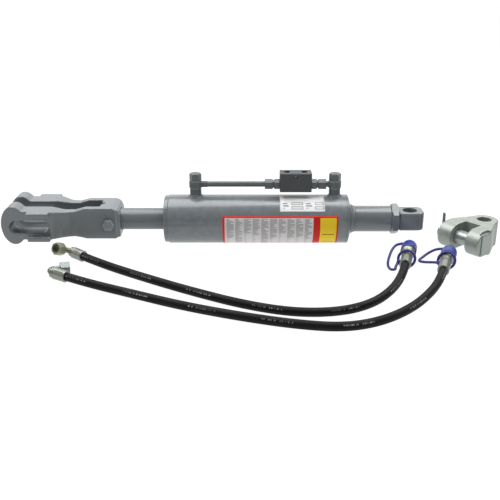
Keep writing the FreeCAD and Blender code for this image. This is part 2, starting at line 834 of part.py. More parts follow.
def make_cross_bolt():
    """The bolt through the hub and the rod, with its nut and washers, along Y."""
    shank = s.cross_bolt / 2
    face = s.fork_hub_half + s.cross_washer_thickness
    bolt = hex_piece("cross_bolt", s.cross_bolt_flats, s.cross_bolt_head, None, start=face, both_ends=False,
                     corner_up=False)
    tail = -face - s.cross_nut - 4
    bolt.turn([(face + 0.5, 0), (face + 0.5, shank), (tail + 1, shank), (tail, shank - 1), (tail, 0)])
    nut = hex_piece("cross_nut", s.cross_bolt_flats, s.cross_nut, s.cross_bolt + 2 * s.run_fit,
                    start=-face - s.cross_nut, corner_up=False)
    near = cylinder("cross_washer_near", s.cross_washer / 2, s.cross_washer_thickness, 0, 0, s.fork_hub_half)
    far = cylinder("cross_washer_far", s.cross_washer / 2, s.cross_washer_thickness, 0, 0, -face)
    washers = doc.addObject("Part::MultiFuse", "cross_washer_discs")
    washers.Shapes = [near, far]
    hole = cylinder("cross_washer_hole", (s.cross_bolt + s.bolt_fit) / 2, 2 * face + 2, 0, 0, -face - 1)
    rings = keep(combine("Cut", "cross_washers", washers, hole), "cross_washers")
    near_side = Rotation(Vector(0, 0, 1), -90)
    for made in (bolt, nut):
        place_on_arm(made.body, s.cross_bolt_x, 0, 0, near_side)
    place_on_arm(rings, s.cross_bolt_x, 0, 0, Rotation(Vector(1, 0, 0), 90))


# Eye end: lock nut and threaded eye

nut_back = sleeve_back + s.lock_nut_thickness
eye_back = nut_back + s.eye_length


def make_eye_end():
    nut = hex_piece("lock_nut", s.lock_nut_flats, s.lock_nut_thickness, s.eye_shank + 2 * s.run_fit,
                    start=sleeve_back)
    eye = Piece("end_eye")
    half = s.eye_width / 2
    eye.pad("XY", lambda sk: add_outline(sk, [(nut_back, -half), (eye_back, -half), (eye_back, half),
                                              (nut_back, half)]), s.eye_thickness, both=True)
    corner = s.eye_corner.value

    def upright(edge):
        box_of = edge.BoundBox
        return box_of.ZLength > 20 and box_of.XLength < 0.01 and box_of.Center.x > nut_back.value + corner
    eye.round_edges(s.eye_corner, upright)

    def rim(edge):
        box_of = edge.BoundBox
        return box_of.ZLength < 0.01 or box_of.Center.x < nut_back.value + 0.1
    eye.round_edges(s.eye_edge, rim)
    eye.pad("YZ", lambda sk: add_circle(sk, 0, 0, s.eye_shank / 2), s.eye_shank_length,
            lift=nut_back + s.cut_over, back=True)
    bore_x = nut_back + s.eye_bore_back
    eye.pocket("XY", lambda sk: add_circle(sk, bore_x, 0, s.eye_bore / 2), s.eye_thickness + 2 * s.cut_over,
               both=True)
    for made in (nut, eye):
        place_on_arm(made.body)


# Ports: welded bosses, banjo unions and bonded washers

boss_top = tube_radius + s.boss_height
washer = s.bonded_washer_thickness
ring_bottom = boss_top + washer
ring_top = ring_bottom + s.banjo_ring_height
head_bottom = ring_top + washer
pipe_rise = ring_bottom + s.banjo_ring_height / 2


def make_port(name, port):
    """A boss on the tube with its weld, drilled and tapped for the banjo bolt."""
    outer = s.boss_outer / 2
    boss = Piece(f"{name}_port_boss")
    boss.pad("XY", lambda sk: add_circle(sk, 0, 0, outer), boss_top)
    boss.pocket("YZ", lambda sk: add_circle(sk, 0, 0, tube_radius), s.boss_outer + 4, both=True)
    boss.pocket("XY", lambda sk: add_circle(sk, 0, 0, s.port_bore / 2), boss_top + 1, back=True)
    boss.pocket("XY", lambda sk: add_circle(sk, 0, 0, s.port_thread / 2),
                s.banjo_bolt_reach + s.edge_break, lift=boss_top)
    place_on_arm(boss.body, port)
    bead = Piece(f"{name}_boss_weld", written=False)
    foot = tube_radius - 2
    bead.turn([(outer, foot), (outer + s.boss_weld, foot), (outer + s.boss_weld, tube_radius),
               (outer + s.boss_weld * 0.5, tube_radius + s.boss_weld * 0.7),
               (outer, tube_radius + s.boss_weld)], about="V_Axis")
    bead.pocket("YZ", lambda sk: add_circle(sk, 0, 0, tube_radius), s.boss_outer * 2, both=True)
    place_on_arm(bead.body, port)
    return bead.body


def make_banjo(name, port, neck_reach, side):
    """The banjo bolt, the ring with its pipe neck, and the two bonded washers."""
    shank = s.port_thread / 2 - s.run_fit
    ring = Piece(f"{name}_banjo_ring")
    radius = s.banjo_ring_outer / 2
    edge = s.edge_break * 0.6
    ring.turn([(0, ring_bottom), (radius - edge, ring_bottom), (radius, ring_bottom + edge),
               (radius, ring_top - edge), (radius - edge, ring_top), (0, ring_top)], about="V_Axis")
    ring.pad("YZ", lambda sk: add_circle(sk, 0, pipe_rise, s.neck_outer / 2), neck_reach)
    ring.pocket("YZ", lambda sk: add_circle(sk, 0, pipe_rise, s.pipe_outer / 2 + s.run_fit), s.pipe_socket,
                lift=neck_reach)
    ring.pocket("YZ", lambda sk: add_circle(sk, 0, pipe_rise, s.pipe_outer / 2 - s.pipe_wall), neck_reach,
                back=True)
    ring.pocket("XY", lambda sk: add_circle(sk, 0, 0, s.port_thread / 2 + s.run_fit), ring_top + s.cut_over,
                back=True)
    bolt = Piece(f"{name}_banjo_bolt")
    bolt.pad("XY", lambda sk: add_outline(sk, hexagon(s.banjo_bolt_flats, corner_up=False)),
             s.banjo_bolt_head, lift=head_bottom)
    corner = s.banjo_bolt_flats * HEX_CORNER
    rim = s.banjo_bolt_flats / 2 * HEX_RIM
    top = head_bottom + s.banjo_bolt_head
    rise = (corner - rim) * HEX_BEVEL
    over = s.cut_over
    bolt.turn([(rim, top + over), (rim, top), (corner, top - rise), (corner + over, top - rise),
               (corner + over, top + over)], about="V_Axis", cut=True)
    foot = boss_top - s.banjo_bolt_reach
    bolt.turn([(0, foot), (shank - edge, foot), (shank, foot + edge), (shank, head_bottom + over),
               (0, head_bottom + over)], about="V_Axis")
    bore = s.banjo_bolt_bore / 2
    bolt.pocket("XY", lambda sk: add_circle(sk, 0, 0, bore), pipe_rise + bore - foot + over,
                lift=foot - over, back=True)
    bolt.pocket("YZ", lambda sk: add_circle(sk, 0, pipe_rise, bore * 0.8), s.port_thread + 2 * over,
                both=True)
    turn = Rotation(Vector(0, 0, 1), 0 if side > 0 else 180)
    place_on_arm(ring.body, port, 0, 0, turn)
    place_on_arm(bolt.body, port, 0, 0, turn)


def compound(label, members):
    """Gather separate solids of one kind in one sub-part."""
    group = doc.addObject("Part::Compound", label)
    group.Links = members
    return keep(group, label)


def make_bonded_washers():
    members = []
    for port_name, port in (("front", front_port), ("rear", rear_port)):
        for level_name, level in (("lower", boss_top), ("upper", ring_top)):
            name = f"{port_name}_{level_name}_washer"
            disc = cylinder(f"{name}_disc", s.bonded_washer / 2, washer, port, 0, level)
            hole = cylinder(f"{name}_hole", s.port_thread / 2 + s.run_fit, washer + 2 * s.cut_over, port, 0,
                            level - s.cut_over)
            members.append(combine("Cut", name, disc, hole))
    group = compound("banjo_washers", members)
    place_on_arm(group)


# Pipe line: pipes, union nuts, cutting rings and stud fittings on the block's two ends

half_block = s.block_length / 2
pipe_radius = s.pipe_outer / 2
stud_outer_end = s.stud_hex_length + s.stud_thread_length
pipe_inner_end = stud_outer_end - s.pipe_grip
spring_seat = s.stud_hex_length * 0.4
block_centre = rear_port - s.block_from_port
left_face = block_centre - half_block
right_face = block_centre + half_block


def make_pipe(label, start, end):
    piece = Piece(label)
    inner = pipe_radius - s.pipe_wall
    piece.turn([(start, inner), (end, inner), (end, pipe_radius), (start, pipe_radius)])
    place_on_arm(piece.body, 0, 0, pipe_rise)


def make_fitting(name, face, side):
    """A stud fitting in the block, its union nut and the cutting ring on the pipe."""
    turn = Rotation(Vector(0, 0, 1), 0 if side > 0 else 180)
    thread = s.stud_thread_outer / 2
    grip = pipe_radius + s.run_fit
    stud = hex_piece(f"{name}_stud_fitting", s.stud_hex_flats, s.stud_hex_length, None)
    tail = s.port_thread / 2 - s.run_fit
    edge = s.edge_break
    stud.turn([(-s.stud_tail, 0), (-s.stud_tail, tail - edge), (-s.stud_tail + edge, tail), (edge, tail),
               (edge, 0)])
    stud.turn([(s.stud_hex_length - edge, 0), (s.stud_hex_length - edge, thread),
               (stud_outer_end - edge, thread), (stud_outer_end, thread - edge), (stud_outer_end, 0)])
    bore = s.stud_bore / 2 * 0.6
    chamber = s.poppet_outer / 2 + s.bolt_fit
    pocket = s.spring_outer / 2 + s.bolt_fit
    pocket_mouth = spring_seat - s.spring_pocket
    tail_end = -s.stud_tail - s.cut_over
    mouth = stud_outer_end + s.cut_over
    flare = s.pipe_flare
    stud.turn([(tail_end, 0), (tail_end, chamber), (pocket_mouth, chamber), (pocket_mouth, pocket),
               (spring_seat, pocket), (spring_seat, bore), (pipe_inner_end, bore), (pipe_inner_end, grip),
               (mouth - flare, grip), (mouth, grip + flare), (mouth, 0)], cut=True)
    nut = Piece(f"{name}_union_nut")
    start = s.union_nut_start
    end = start + s.union_nut_length
    over = s.cut_over
    nut.pad("YZ", lambda sk: add_outline(sk, hexagon(s.union_nut_flats)), s.union_nut_length, lift=start)
    corner = s.union_nut_flats * HEX_CORNER
    rim = s.union_nut_flats / 2 * HEX_RIM
    rise = (corner - rim) * HEX_BEVEL
    nut.turn([(end + over, rim), (end, rim), (end - rise, corner), (end - rise, corner + over),
              (end + over, corner + over)], cut=True)
    nut.turn([(start - over, rim), (start, rim), (start + rise, corner), (start + rise, corner + over),
              (start - over, corner + over)], cut=True)
    inside = thread + s.run_fit
    throat = grip + s.bolt_fit
    cone_start = stud_outer_end + edge * 1.5
    nut.turn([(start - over, 0), (start - over, inside), (cone_start, inside),
              (cone_start + inside - throat, throat), (end + over, throat), (end + over, 0)], cut=True)
    ring = Piece(f"{name}_cutting_ring", written=False)
    ring_start = stud_outer_end - edge
    ring_end = ring_start + s.cutting_ring_width
    rise = s.cutting_ring_height
    ring.turn([(ring_start, pipe_radius), (ring_end, pipe_radius), (ring_end, pipe_radius + rise * 0.2),
               (ring_end - s.cutting_ring_width * 0.4, pipe_radius + rise),
               (ring_start, pipe_radius + rise / 3)])
    for made in (stud, nut, ring):
        place_on_arm(made.body, face, 0, pipe_rise, turn)
    return ring.body


def make_valve_block():
    """The check-valve block: line bore with two seats, two top ports and the fixing hole."""
    piece = Piece("valve_block")
    bottom = -s.block_axis_drop
    top = bottom + s.block_height
    corners = [(-half_block, bottom), (half_block, bottom), (half_block, top), (-half_block, top)]
    piece.pad("XZ", lambda sk: add_outline(sk, corners), s.block_depth, both=True)
    piece.round_edges(s.edge_break, lambda edge: True, chamfer=True)
    thread = s.port_thread / 2
    chamber = s.poppet_chamber / 2
    pilot = s.pilot_bore / 2
    port_floor = half_block - s.stud_tail - s.bolt_fit
    beyond = half_block + s.cut_over
    half = [(s.seat_place, pilot), (s.seat_place, chamber), (port_floor, chamber), (port_floor, thread),
            (beyond, thread)]
    mirrored = [(-x, r) for x, r in reversed(half)]
    piece.turn([(-beyond, 0)] + mirrored + half + [(beyond, 0)], cut=True)
    for side in (-1, 1):
        port_x = s.top_port_spacing / 2 * side
        drill_x = s.top_port_drill_spacing / 2 * side
        piece.pocket("XY", lambda sk: add_circle(sk, port_x, 0, s.top_port_bore / 2),
                     s.top_port_depth + s.cut_over, lift=top + s.cut_over)
        piece.pocket("XY", lambda sk: add_circle(sk, drill_x, 0, s.top_port_drill / 2), top, back=True)
    piece.pocket("XZ", lambda sk: add_circle(sk, 0, s.block_hole_rise, s.block_hole / 2),
                 s.block_depth + 2 * s.cut_over, both=True)
    place_on_arm(piece.body, block_centre, 0, pipe_rise)


def make_valve_inside():
    """The pilot piston between the seats, and the poppet and spring at each end."""
    pilot = Piece("pilot_piston")
    land = s.pilot_land / 2
    pin = s.pilot_pin / 2
    radius = s.pilot_bore / 2 - s.run_fit
    half = [(s.pilot_reach, 0), (s.pilot_reach, pin), (land, pin), (land, radius)]
    pilot.turn([(-x, r) for x, r in half] + list(reversed(half)))
    place_on_arm(pilot.body, block_centre, 0, pipe_rise)
    seat = s.pilot_bore / 2
    outer = s.poppet_outer / 2
    nose = s.poppet_nose
    tip = s.seat_place - (seat - nose) + s.run_fit
    shoulder = tip + (outer - nose)
    back = tip + s.poppet_length
    pocket = s.poppet_pocket / 2
    pocket_floor = back - s.poppet_pocket_depth
    spring_end = half_block + spring_seat
    along = Rotation(Vector(0, 1, 0), -90)
    for name, side in (("left", -1), ("right", 1)):
        turn = Rotation(Vector(0, 0, 1), 0 if side > 0 else 180)
        poppet = Piece(f"{name}_poppet")
        poppet.turn([(tip, 0), (tip, nose), (shoulder, outer), (back, outer), (back, pocket),
                     (pocket_floor, pocket), (pocket_floor, 0)])
        place_on_arm(poppet.body, block_centre, 0, pipe_rise, turn)
        coil = keep(spring_coil(f"{name}_spring", spring_end - pocket_floor), f"{name}_spring")
        right_end = spring_end if side > 0 else -pocket_floor
        place_on_arm(coil, block_centre + right_end - s.spring_wire / 2, 0, pipe_rise, along)


def spring_coil(name, room):
    """A compression spring along Z: one round wire on a helix that fills the given room."""
    wire = SIZES["spring_wire"] / 2
    mean = SIZES["spring_outer"] / 2 - wire
    length = room.value - 2 * wire
    pitch = length / SIZES["spring_turns"]
    helix = Part.makeLongHelix(pitch, length, mean)
    circle = Part.makeCircle(wire, Vector(mean, 0, 0), Vector(0, 1, pitch / (2 * math.pi * mean)))
    coil = Part.Wire(helix.Edges).makePipeShell([Part.Wire([circle])], True, True)
    feature = doc.addObject("Part::Feature", name)
    feature.Shape = coil
    return feature


# Loose clevis: two cheeks, a tongue with an upright bore, and the flat-headed pin

def make_clevis():
    piece = Piece("clevis")
    wide = s.clevis_half_width
    end = s.tongue_end_radius
    half_height = s.clevis_height / 2
    reach = s.tongue_reach
    side = [(-half_height, wide), (s.clevis_straight, wide), (reach, end)]
    plan = side + [(x, -y) for x, y in reversed(side)]
    piece.pad("XY", lambda sk: add_outline(sk, plan), s.clevis_height, both=True)
    piece.pad("XY", lambda sk: add_circle(sk, reach, 0, end), s.clevis_height, both=True)

    def nose_edge(edge):
        box_of = edge.BoundBox
        return box_of.YLength > 60 and abs(box_of.Center.x + half_height.value) < 0.01
    piece.round_edges(half_height - 0.05, nose_edge)

    def taper_edge(edge):
        box_of = edge.BoundBox
        return box_of.ZLength > 40 and abs(box_of.Center.x - s.clevis_straight.value) < 0.01
    piece.round_edges(s.clevis_shoulder, taper_edge)

    def rim_edge(edge):
        box_of = edge.BoundBox
        return box_of.ZLength < 0.01 and box_of.Center.x > s.clevis_straight.value - 10
    piece.round_edges(s.eye_edge, rim_edge)
    gap = s.clevis_gap / 2
    through = s.clevis_height + 2 * s.cut_over
    mouth = -half_height - s.cut_over
    gap_plan = [(mouth, -gap), (s.clevis_gap_depth, -gap), (s.clevis_gap_depth, gap), (mouth, gap)]
    piece.pocket("XY", lambda sk: add_outline(sk, gap_plan), through, both=True)
    piece.pocket("XY", lambda sk: add_circle(sk, reach, 0, s.tongue_bore / 2), through, both=True)
    piece.pocket("XZ", lambda sk: add_circle(sk, 0, 0, s.clevis_pin / 2 + s.bolt_fit),
                 2 * (wide + s.cut_over), both=True)
    slot = s.pin_head_width / 2 + s.bolt_fit
    floor = -wide + s.pin_groove_depth
    outside = -wide - s.cut_over
    groove_plan = [(-slot, outside), (slot, outside), (slot, floor), (-slot, floor)]
    piece.pocket("XY", lambda sk: add_outline(sk, groove_plan), through, both=True)
    pin, split = make_clevis_pin(floor), make_split_pin()
    turn = Rotation(Vector(0, 0, 1), s.clevis_turn.value)
    for made in (piece.body, pin.body, split):
        place_on_floor(made, eye_back + s.clevis_beyond_eye, s.clevis_y, half_height, turn)


def make_clevis_pin(floor):
    """The round pin along Y, whose flat head lies on the floor of the clevis's groove."""
    pin = Piece("clevis_pin")
    half_head = s.pin_head_width / 2
    tall = s.pin_head_height / 2
    head_face = floor.value - s.pin_head_thickness.value
    pin.pad("XZ", lambda sk: add_circle(sk, 0, 0, s.clevis_pin / 2), s.pin_tail - floor, lift=-floor,
            back=True)
    pin.round_edges(s.edge_break * 1.5, lambda edge: edge.BoundBox.YMin > 0, chamfer=True)
    head = [(-half_head, -tall), (half_head, -tall), (half_head, tall), (-half_head, tall)]
    pin.pad("XZ", lambda sk: add_outline(sk, head), s.pin_head_thickness, lift=-floor)
    pin.round_edges(s.edge_break * 1.2, lambda edge: edge.BoundBox.YMax < head_face + 0.01, chamfer=True)
    pin.pocket("XY", lambda sk: add_circle(sk, 0, s.split_pin_place, s.split_pin_hole / 2),
               s.clevis_pin + 2 * s.cut_over, both=True)
    return pin


def make_split_pin():
    """Two half-round legs that stand up through the pin, from a round eye below it."""
    wire = s.split_pin_wire / 2
    foot = -s.clevis_pin / 2 - s.split_below
    y = s.split_pin_place
    slit_wide = s.split_slit
    tall = cylinder("split_leg_round", wire, s.split_leg_tall - foot, 0, y, foot)
    trim = box("split_leg_trim", s.split_pin_wire, s.split_pin_wire, s.split_leg_tall, slit_wide / 2,
               y - wire, s.split_leg_short)
    slit = box("split_leg_slit", slit_wide, s.split_pin_wire, s.split_leg_tall * 2, -slit_wide / 2, y - wire,
               foot + 2 * s.split_below)
    legs = combine("Cut", "split_legs_trimmed", tall, trim)
    legs = combine("Cut", "split_legs", legs, slit)
    eye = doc.addObject("Part::Torus", "split_eye")
    thick = s.split_eye_wire / 2
    radius = s.split_eye / 2 - thick
    eye.Radius1 = radius.value
    eye.Radius2 = thick.value
    bind(eye, "Radius1", radius)
    bind(eye, "Radius2", thick)
    place(eye, 0, y, foot - radius + thick / 2, ALONG_Y)
    return keep(combine("Fuse", "split_pin", legs, eye), "split_pin")


# Hoses: free tubes on the floor, with an elbow and swivel nut at one end and a capped plug at the other

HOSE_ROUTES = {
    "a": [(-293.0, -102.0, 10.6), (-254.0, -130.0, 7.4), (-184.0, -180.0, 7.3), (-98.0, -237.0, 7.3),
          (-10.0, -288.0, 7.3), (66.0, -315.0, 7.3), (134.0, -313.0, 7.3), (187.0, -286.0, 7.3),
          (226.0, -241.0, 9.6), (252.0, -190.4, 14.6), (263.5, -150.0, 14.6)],
    "b": [(-303.0, -190.0, 10.6), (-262.0, -210.0, 7.4), (-190.0, -247.0, 7.3), (-104.0, -292.0, 7.3),
          (-14.0, -328.0, 7.3), (70.0, -354.0, 7.3), (138.0, -363.0, 7.3), (196.0, -342.0, 7.3),
          (248.0, -298.0, 7.4), (286.0, -250.0, 10.6), (310.0, -208.0, 14.6), (322.5, -174.0, 14.6)],
}
TETHER_ROUTES = {
    "a": [(276.4, -58.3, 17.6), (266.7, -58.4, 17.0), (257.9, -65.7, 12.2), (251.0, -79.9, 7.2),
          (245.1, -96.9, 3.8), (240.7, -114.4, 2.4), (239.1, -130.3, 2.2), (241.3, -142.1, 2.3),
          (249.8, -141.8, 2.9), (250.9, -131.8, 3.9), (255.5, -125.4, 7.0)],
    "b": [(342.2, -83.6, 17.6), (334.6, -83.0, 17.4), (325.7, -81.2, 13.2), (316.2, -83.9, 8.6),
          (306.9, -90.5, 4.6), (298.4, -99.1, 2.3), (298.9, -106.2, 2.2), (310.0, -109.4, 2.7),
          (320.6, -116.6, 5.6), (323.9, -123.2, 7.8)],
}
RING_PLACES = {"a": 28.0, "b": 46.0}


def route_tube(points, radius):
    """A round tube along straight runs that tangent arcs join, with its volume compared."""
    corners = [Vector(*p) for p in points]
    runs = [(b - a).Length for a, b in zip(corners, corners[1:])]
    edges = []
    start = corners[0]
    radii = []
    length = 0.0
    for before, corner, after, run_in, run_out in zip(corners, corners[1:], corners[2:], runs, runs[1:]):
        into = (corner - before).normalize()
        out = (after - corner).normalize()
        half_turn = into.getAngle(out) / 2
        cut = 0.45 * min(run_in, run_out)
        bend = cut / math.tan(half_turn)
        radii.append(bend)
        first = corner - into * cut
        last = corner + out * cut
        side = (out - into).normalize()
        centre = corner + side * (bend / math.cos(half_turn))
        middle = centre + (corner - centre).normalize() * bend
        edges.append(Part.LineSegment(start, first).toShape())
        edges.append(Part.Arc(first, middle, last).toShape())
        length += (first - start).Length + 2 * half_turn * bend
        start = last
    edges.append(Part.LineSegment(start, corners[-1]).toShape())
    length += (corners[-1] - start).Length
    circle = Part.makeCircle(radius, corners[0], corners[1] - corners[0])
    tube = Part.Wire(edges).makePipeShell([Part.Wire([circle])], True, False)
    ratio = tube.Volume / (math.pi * radius * radius * length)
    if abs(ratio - 1.0) > 0.01:
        raise ValueError(f"tube volume is {ratio:.4f} of its section times its length")
    return tube, length, radii


def make_cord(label, points, diameter):
    """A free hose or tether as one plain tube through the points of its route."""
    tube, length, radii = route_tube(points, diameter.value / 2)
    feature = doc.addObject("Part::Feature", label)
    feature.Shape = tube
    keep(feature, label)
    place_on_floor(feature, 0, 0, 0)
    bends = ", ".join(f"{r:.0f}" for r in radii)
    print(f"{label}: length {length:.1f} mm, radii {bends} mm")


def ferrule_outline(length, outer, bore):
    """Outline of a crimped ferrule: a collar with two pressed bands."""
    edge = s.edge_break
    band = length / 4
    waist = outer - s.crimp_depth
    rib = 2 * band + 2 * edge
    return [(0, bore), (0, outer - edge), (edge, outer), (band, outer), (band + edge, waist),
            (2 * band - edge, waist), (2 * band, outer), (rib, outer), (rib + edge, waist), (3 * band, waist),
            (3 * band + edge, outer), (length - edge, outer), (length, outer - edge), (length, bore)]


def point_sizes(point):
    """Take a point chosen by hand as sizes."""
    return [as_size(value) for value in point]


def frame_along(origin, toward, side=1):
    """A rotation whose X runs from one point toward another, and whose Y lies level on the given side."""
    x = (Vector(*toward) - Vector(*origin)).normalize()
    y = Vector(0, 0, side).cross(x)
    return Rotation(x, y, x.cross(y), "XYZ")


CONE_LENGTH = 4.0
CONE_RISE = 2.2
CONE_PLACE = 4.0


# Side to which each elbow bends, its roll up off the floor and the angle that it turns through
ELBOWS = {"a": (1, 25.0, 90.0), "b": (-1, 0.0, 135.0)}


def make_elbow_end(name, route):
    """The crimped elbow at the hose's left end, with its ferrule and swivel nut."""
    bend_side, roll, bend_angle = ELBOWS[name]
    start, following = route[0], route[1]
    beyond = [2 * a - b for a, b in zip(start, following)]
    turn = frame_along(start, beyond, bend_side).multiply(Rotation(Vector(1, 0, 0), roll * bend_side))
    ferrule = Piece(f"hose_{name}_elbow_ferrule", written=False)
    ferrule.turn(ferrule_outline(s.ferrule_length, s.ferrule_outer / 2, s.elbow_outer / 2))
    elbow = doc.addObject("Part::Feature", f"hose_{name}_elbow")
    outer = SIZES["elbow_outer"] / 2
    inner = SIZES["elbow_bore"] / 2
    bend = SIZES["elbow_bend"]
    first = Vector(SIZES["elbow_leg"] - bend, 0, 0)
    whole, half = math.radians(bend_angle), math.radians(bend_angle / 2)
    middle = first + Vector(bend * math.sin(half), bend * (1 - math.cos(half)), 0)
    last = first + Vector(bend * math.sin(whole), bend * (1 - math.cos(whole)), 0)
    out = Vector(math.cos(whole), math.sin(whole), 0)
    nut_start = last + out * (SIZES["elbow_drop"] - bend)
    end = nut_start + out * (SIZES["swivel_length"] / 2)
    path = Part.Wire([Part.LineSegment(Vector(), first).toShape(), Part.Arc(first, middle, last).toShape(),
                      Part.LineSegment(last, end).toShape()])
    skins = []
    for radius in (outer, inner):
        circle = Part.makeCircle(radius, Vector(), Vector(1, 0, 0))
        skins.append(path.makePipeShell([Part.Wire([circle])], True, False))
    cone = Part.makeCone(outer, outer + CONE_RISE, CONE_LENGTH, end - out * CONE_PLACE, out)
    elbow.Shape = skins[0].fuse(cone).cut(skins[1]).removeSplitter()
    keep(elbow, f"hose_{name}_elbow")
    nut = make_swivel_nut(name)
    for made in (ferrule.body, elbow):
        place_on_floor(made, *point_sizes(start), turn)
    offset = turn.multVec(nut_start)
    along = turn.multiply(Rotation(Vector(0, 0, 1), bend_angle))
    place_on_floor(nut, *point_sizes([a + b for a, b in zip(start, offset)]), along)
    return ferrule.body


def make_swivel_nut(name):
    """The swivel nut, which turns on the elbow's cone with running clearance."""
    nut = hex_piece(f"hose_{name}_swivel_nut", s.swivel_flats, s.swivel_length, None)
    neck = s.elbow_outer / 2 + 0.08
    wide = s.elbow_outer / 2 + CONE_RISE + 0.4
    cone_start = s.swivel_length / 2 - CONE_PLACE - 0.3
    thread_start = s.swivel_length / 2 + 0.3
    nut.turn([(-1, 0), (-1, neck), (cone_start, neck), (cone_start + CONE_LENGTH, neck + CONE_RISE),
              (thread_start, neck + CONE_RISE), (thread_start, wide), (s.swivel_length + 1, wide),
              (s.swivel_length + 1, 0)], cut=True)
    return nut.body


def make_plug_end(name, route):
    """The plug at the hose's right end: its ferrule, body, dust cap and the cap's holding ring."""
    before, start = route[-2], route[-1]
    level = (start[0] - before[0], start[1] - before[1], 0)
    turn = frame_along((0, 0, 0), level)
    ferrule = Piece(f"hose_{name}_plug_ferrule", written=False)
    ferrule.turn(ferrule_outline(s.plug_ferrule_length, s.ferrule_outer / 2, s.plug_nose / 4))
    neck_end = s.plug_ferrule_length + s.plug_neck_length
    collar_end = neck_end + s.plug_collar_length
    nose_end = collar_end + s.plug_nose_length
    neck = s.plug_neck / 2
    collar = s.plug_collar / 2
    nose = s.plug_nose / 2
    bore = s.plug_nose / 4
    edge = s.edge_break
    groove = s.plug_groove_depth
    groove_end = nose_end - s.plug_groove_place
    groove_start = groove_end - s.plug_groove_width
    plug = Piece(f"hose_{name}_plug")
    plug.turn([(0, bore * 0.6), (0, bore), (s.plug_ferrule_length, bore), (s.plug_ferrule_length, neck),
               (neck_end - 4, neck), (neck_end, collar - edge), (neck_end + edge, collar),
               (collar_end - edge, collar), (collar_end, collar - edge), (collar_end, nose),
               (groove_start - edge, nose), (groove_start, nose - groove), (groove_end, nose - groove),
               (groove_end + edge, nose), (nose_end - 2 * edge, nose), (nose_end, nose - 2 * edge),
               (nose_end, bore * 0.6)])
    cap = Piece(f"hose_{name}_cap_shell", written=False)
    cap_start = collar_end - s.cap_lap
    shoulder = cap_start + s.cap_skirt
    tip = cap_start + s.cap_length
    outer = s.cap_outer / 2
    inner = collar + s.cap_fit
    seat = nose + s.cap_fit
    cap.turn([(cap_start, inner), (collar_end + s.cap_fit, inner), (collar_end + s.cap_fit, seat),
              (nose_end + s.cap_fit, seat), (nose_end + s.cap_fit, 0), (tip, 0),
              (tip, s.cap_tip / 2 - edge), (tip - edge, s.cap_tip / 2), (shoulder + 1.5 * edge, outer - edge),
              (shoulder, outer), (cap_start, outer)])
    for made in (ferrule.body, plug.body, cap.body):
        place_on_floor(made, *point_sizes(start), turn)
    tether = TETHER_ROUTES[name]
    lug = make_lug(f"hose_{name}_cap_lug", tether[1], tether[0], s.cap_lug_length)
    keep(combine("Fuse", f"hose_{name}_dust_cap", cap.body, lug), f"hose_{name}_dust_cap")
    make_cap_ring(name, start, turn)
    return ferrule.body


def make_lug(label, before, end, length):
    """A round lug that meets a tether's end face and goes on along the tether's last run."""
    run = Rotation(Vector(0, 0, 1), Vector(*end) - Vector(*before))
    x, y, z = point_sizes(end)
    return cylinder(label, s.tether_lug / 2, length, x - s.origin_x, y - s.origin_y, z, run)


def make_cap_ring(name, start, turn):
    """The loose ring round the plug, leaning and turned, with the knot and lug of the tether's end."""
    ring = doc.addObject("Part::Torus", f"hose_{name}_cap_ring_loop")
    ring.Radius1 = s.tether_ring_radius.value
    ring.Radius2 = (s.tether_wire / 2).value
    bind(ring, "Radius1", s.tether_ring_radius)
    bind(ring, "Radius2", s.tether_wire / 2)
    lean = Rotation(Vector(0, 1, 0), s.tether_ring_lean.value)
    yaw = Rotation(Vector(0, 0, 1), -s.tether_ring_yaw.value)
    stand = turn.multiply(yaw).multiply(lean).multiply(ALONG_X)
    middle = turn.multVec(Vector(RING_PLACES[name], 0, 0))
    x, y, _ = [a + b for a, b in zip(start, middle)]
    place_on_floor(ring, x, y, s.tether_ring_height, stand)
    tether = TETHER_ROUTES[name]
    lug = make_lug(f"hose_{name}_ring_lug", tether[-2], tether[-1], s.ring_lug_length)
    knot = doc.addObject("Part::Sphere", f"hose_{name}_ring_knot")
    knot.Radius = (s.tether_knot / 2).value
    bind(knot, "Radius", s.tether_knot / 2)
    run = (Vector(*tether[-1]) - Vector(*tether[-2])).normalize() * s.ring_lug_length.value
    place_on_floor(knot, *point_sizes([a + b for a, b in zip(tether[-1], run)]))
    whole = doc.addObject("Part::MultiFuse", f"hose_{name}_cap_ring")
    whole.Shapes = [ring, knot, lug]
    keep(whole, f"hose_{name}_cap_ring")


# Build, check and write every sub-part

make_tube()
make_gland()
make_gland_rings()
welds = [make_rear_end()]
make_rod()
make_piston()
make_fork()
make_cross_bolt()
make_eye_end()
welds += [make_port("front", front_port), make_port("rear", rear_port)]
compound("weld_beads", welds)
make_banjo("front", front_port, s.front_neck_reach, 1)
make_banjo("rear", rear_port, s.rear_neck_reach, -1)
make_bonded_washers()
make_pipe("pipe_long", front_port + s.front_neck_reach - s.pipe_socket, left_face - pipe_inner_end)
make_pipe("pipe_short", right_face + pipe_inner_end, rear_port - s.rear_neck_reach + s.pipe_socket)
compound("cutting_rings", [make_fitting("front", left_face, -1), make_fitting("rear", right_face, 1)])
make_valve_block()
make_valve_inside()
make_clevis()
for hose in ("a", "b"):
    make_cord(f"hose_{hose}", HOSE_ROUTES[hose], s.hose_outer)
    ferrules = [make_elbow_end(hose, HOSE_ROUTES[hose]), make_plug_end(hose, HOSE_ROUTES[hose])]
    compound(f"hose_{hose}_ferrules", ferrules)
    make_cord(f"hose_{hose}_cap_tether", TETHER_ROUTES[hose], s.tether_wire)
doc.recompute()

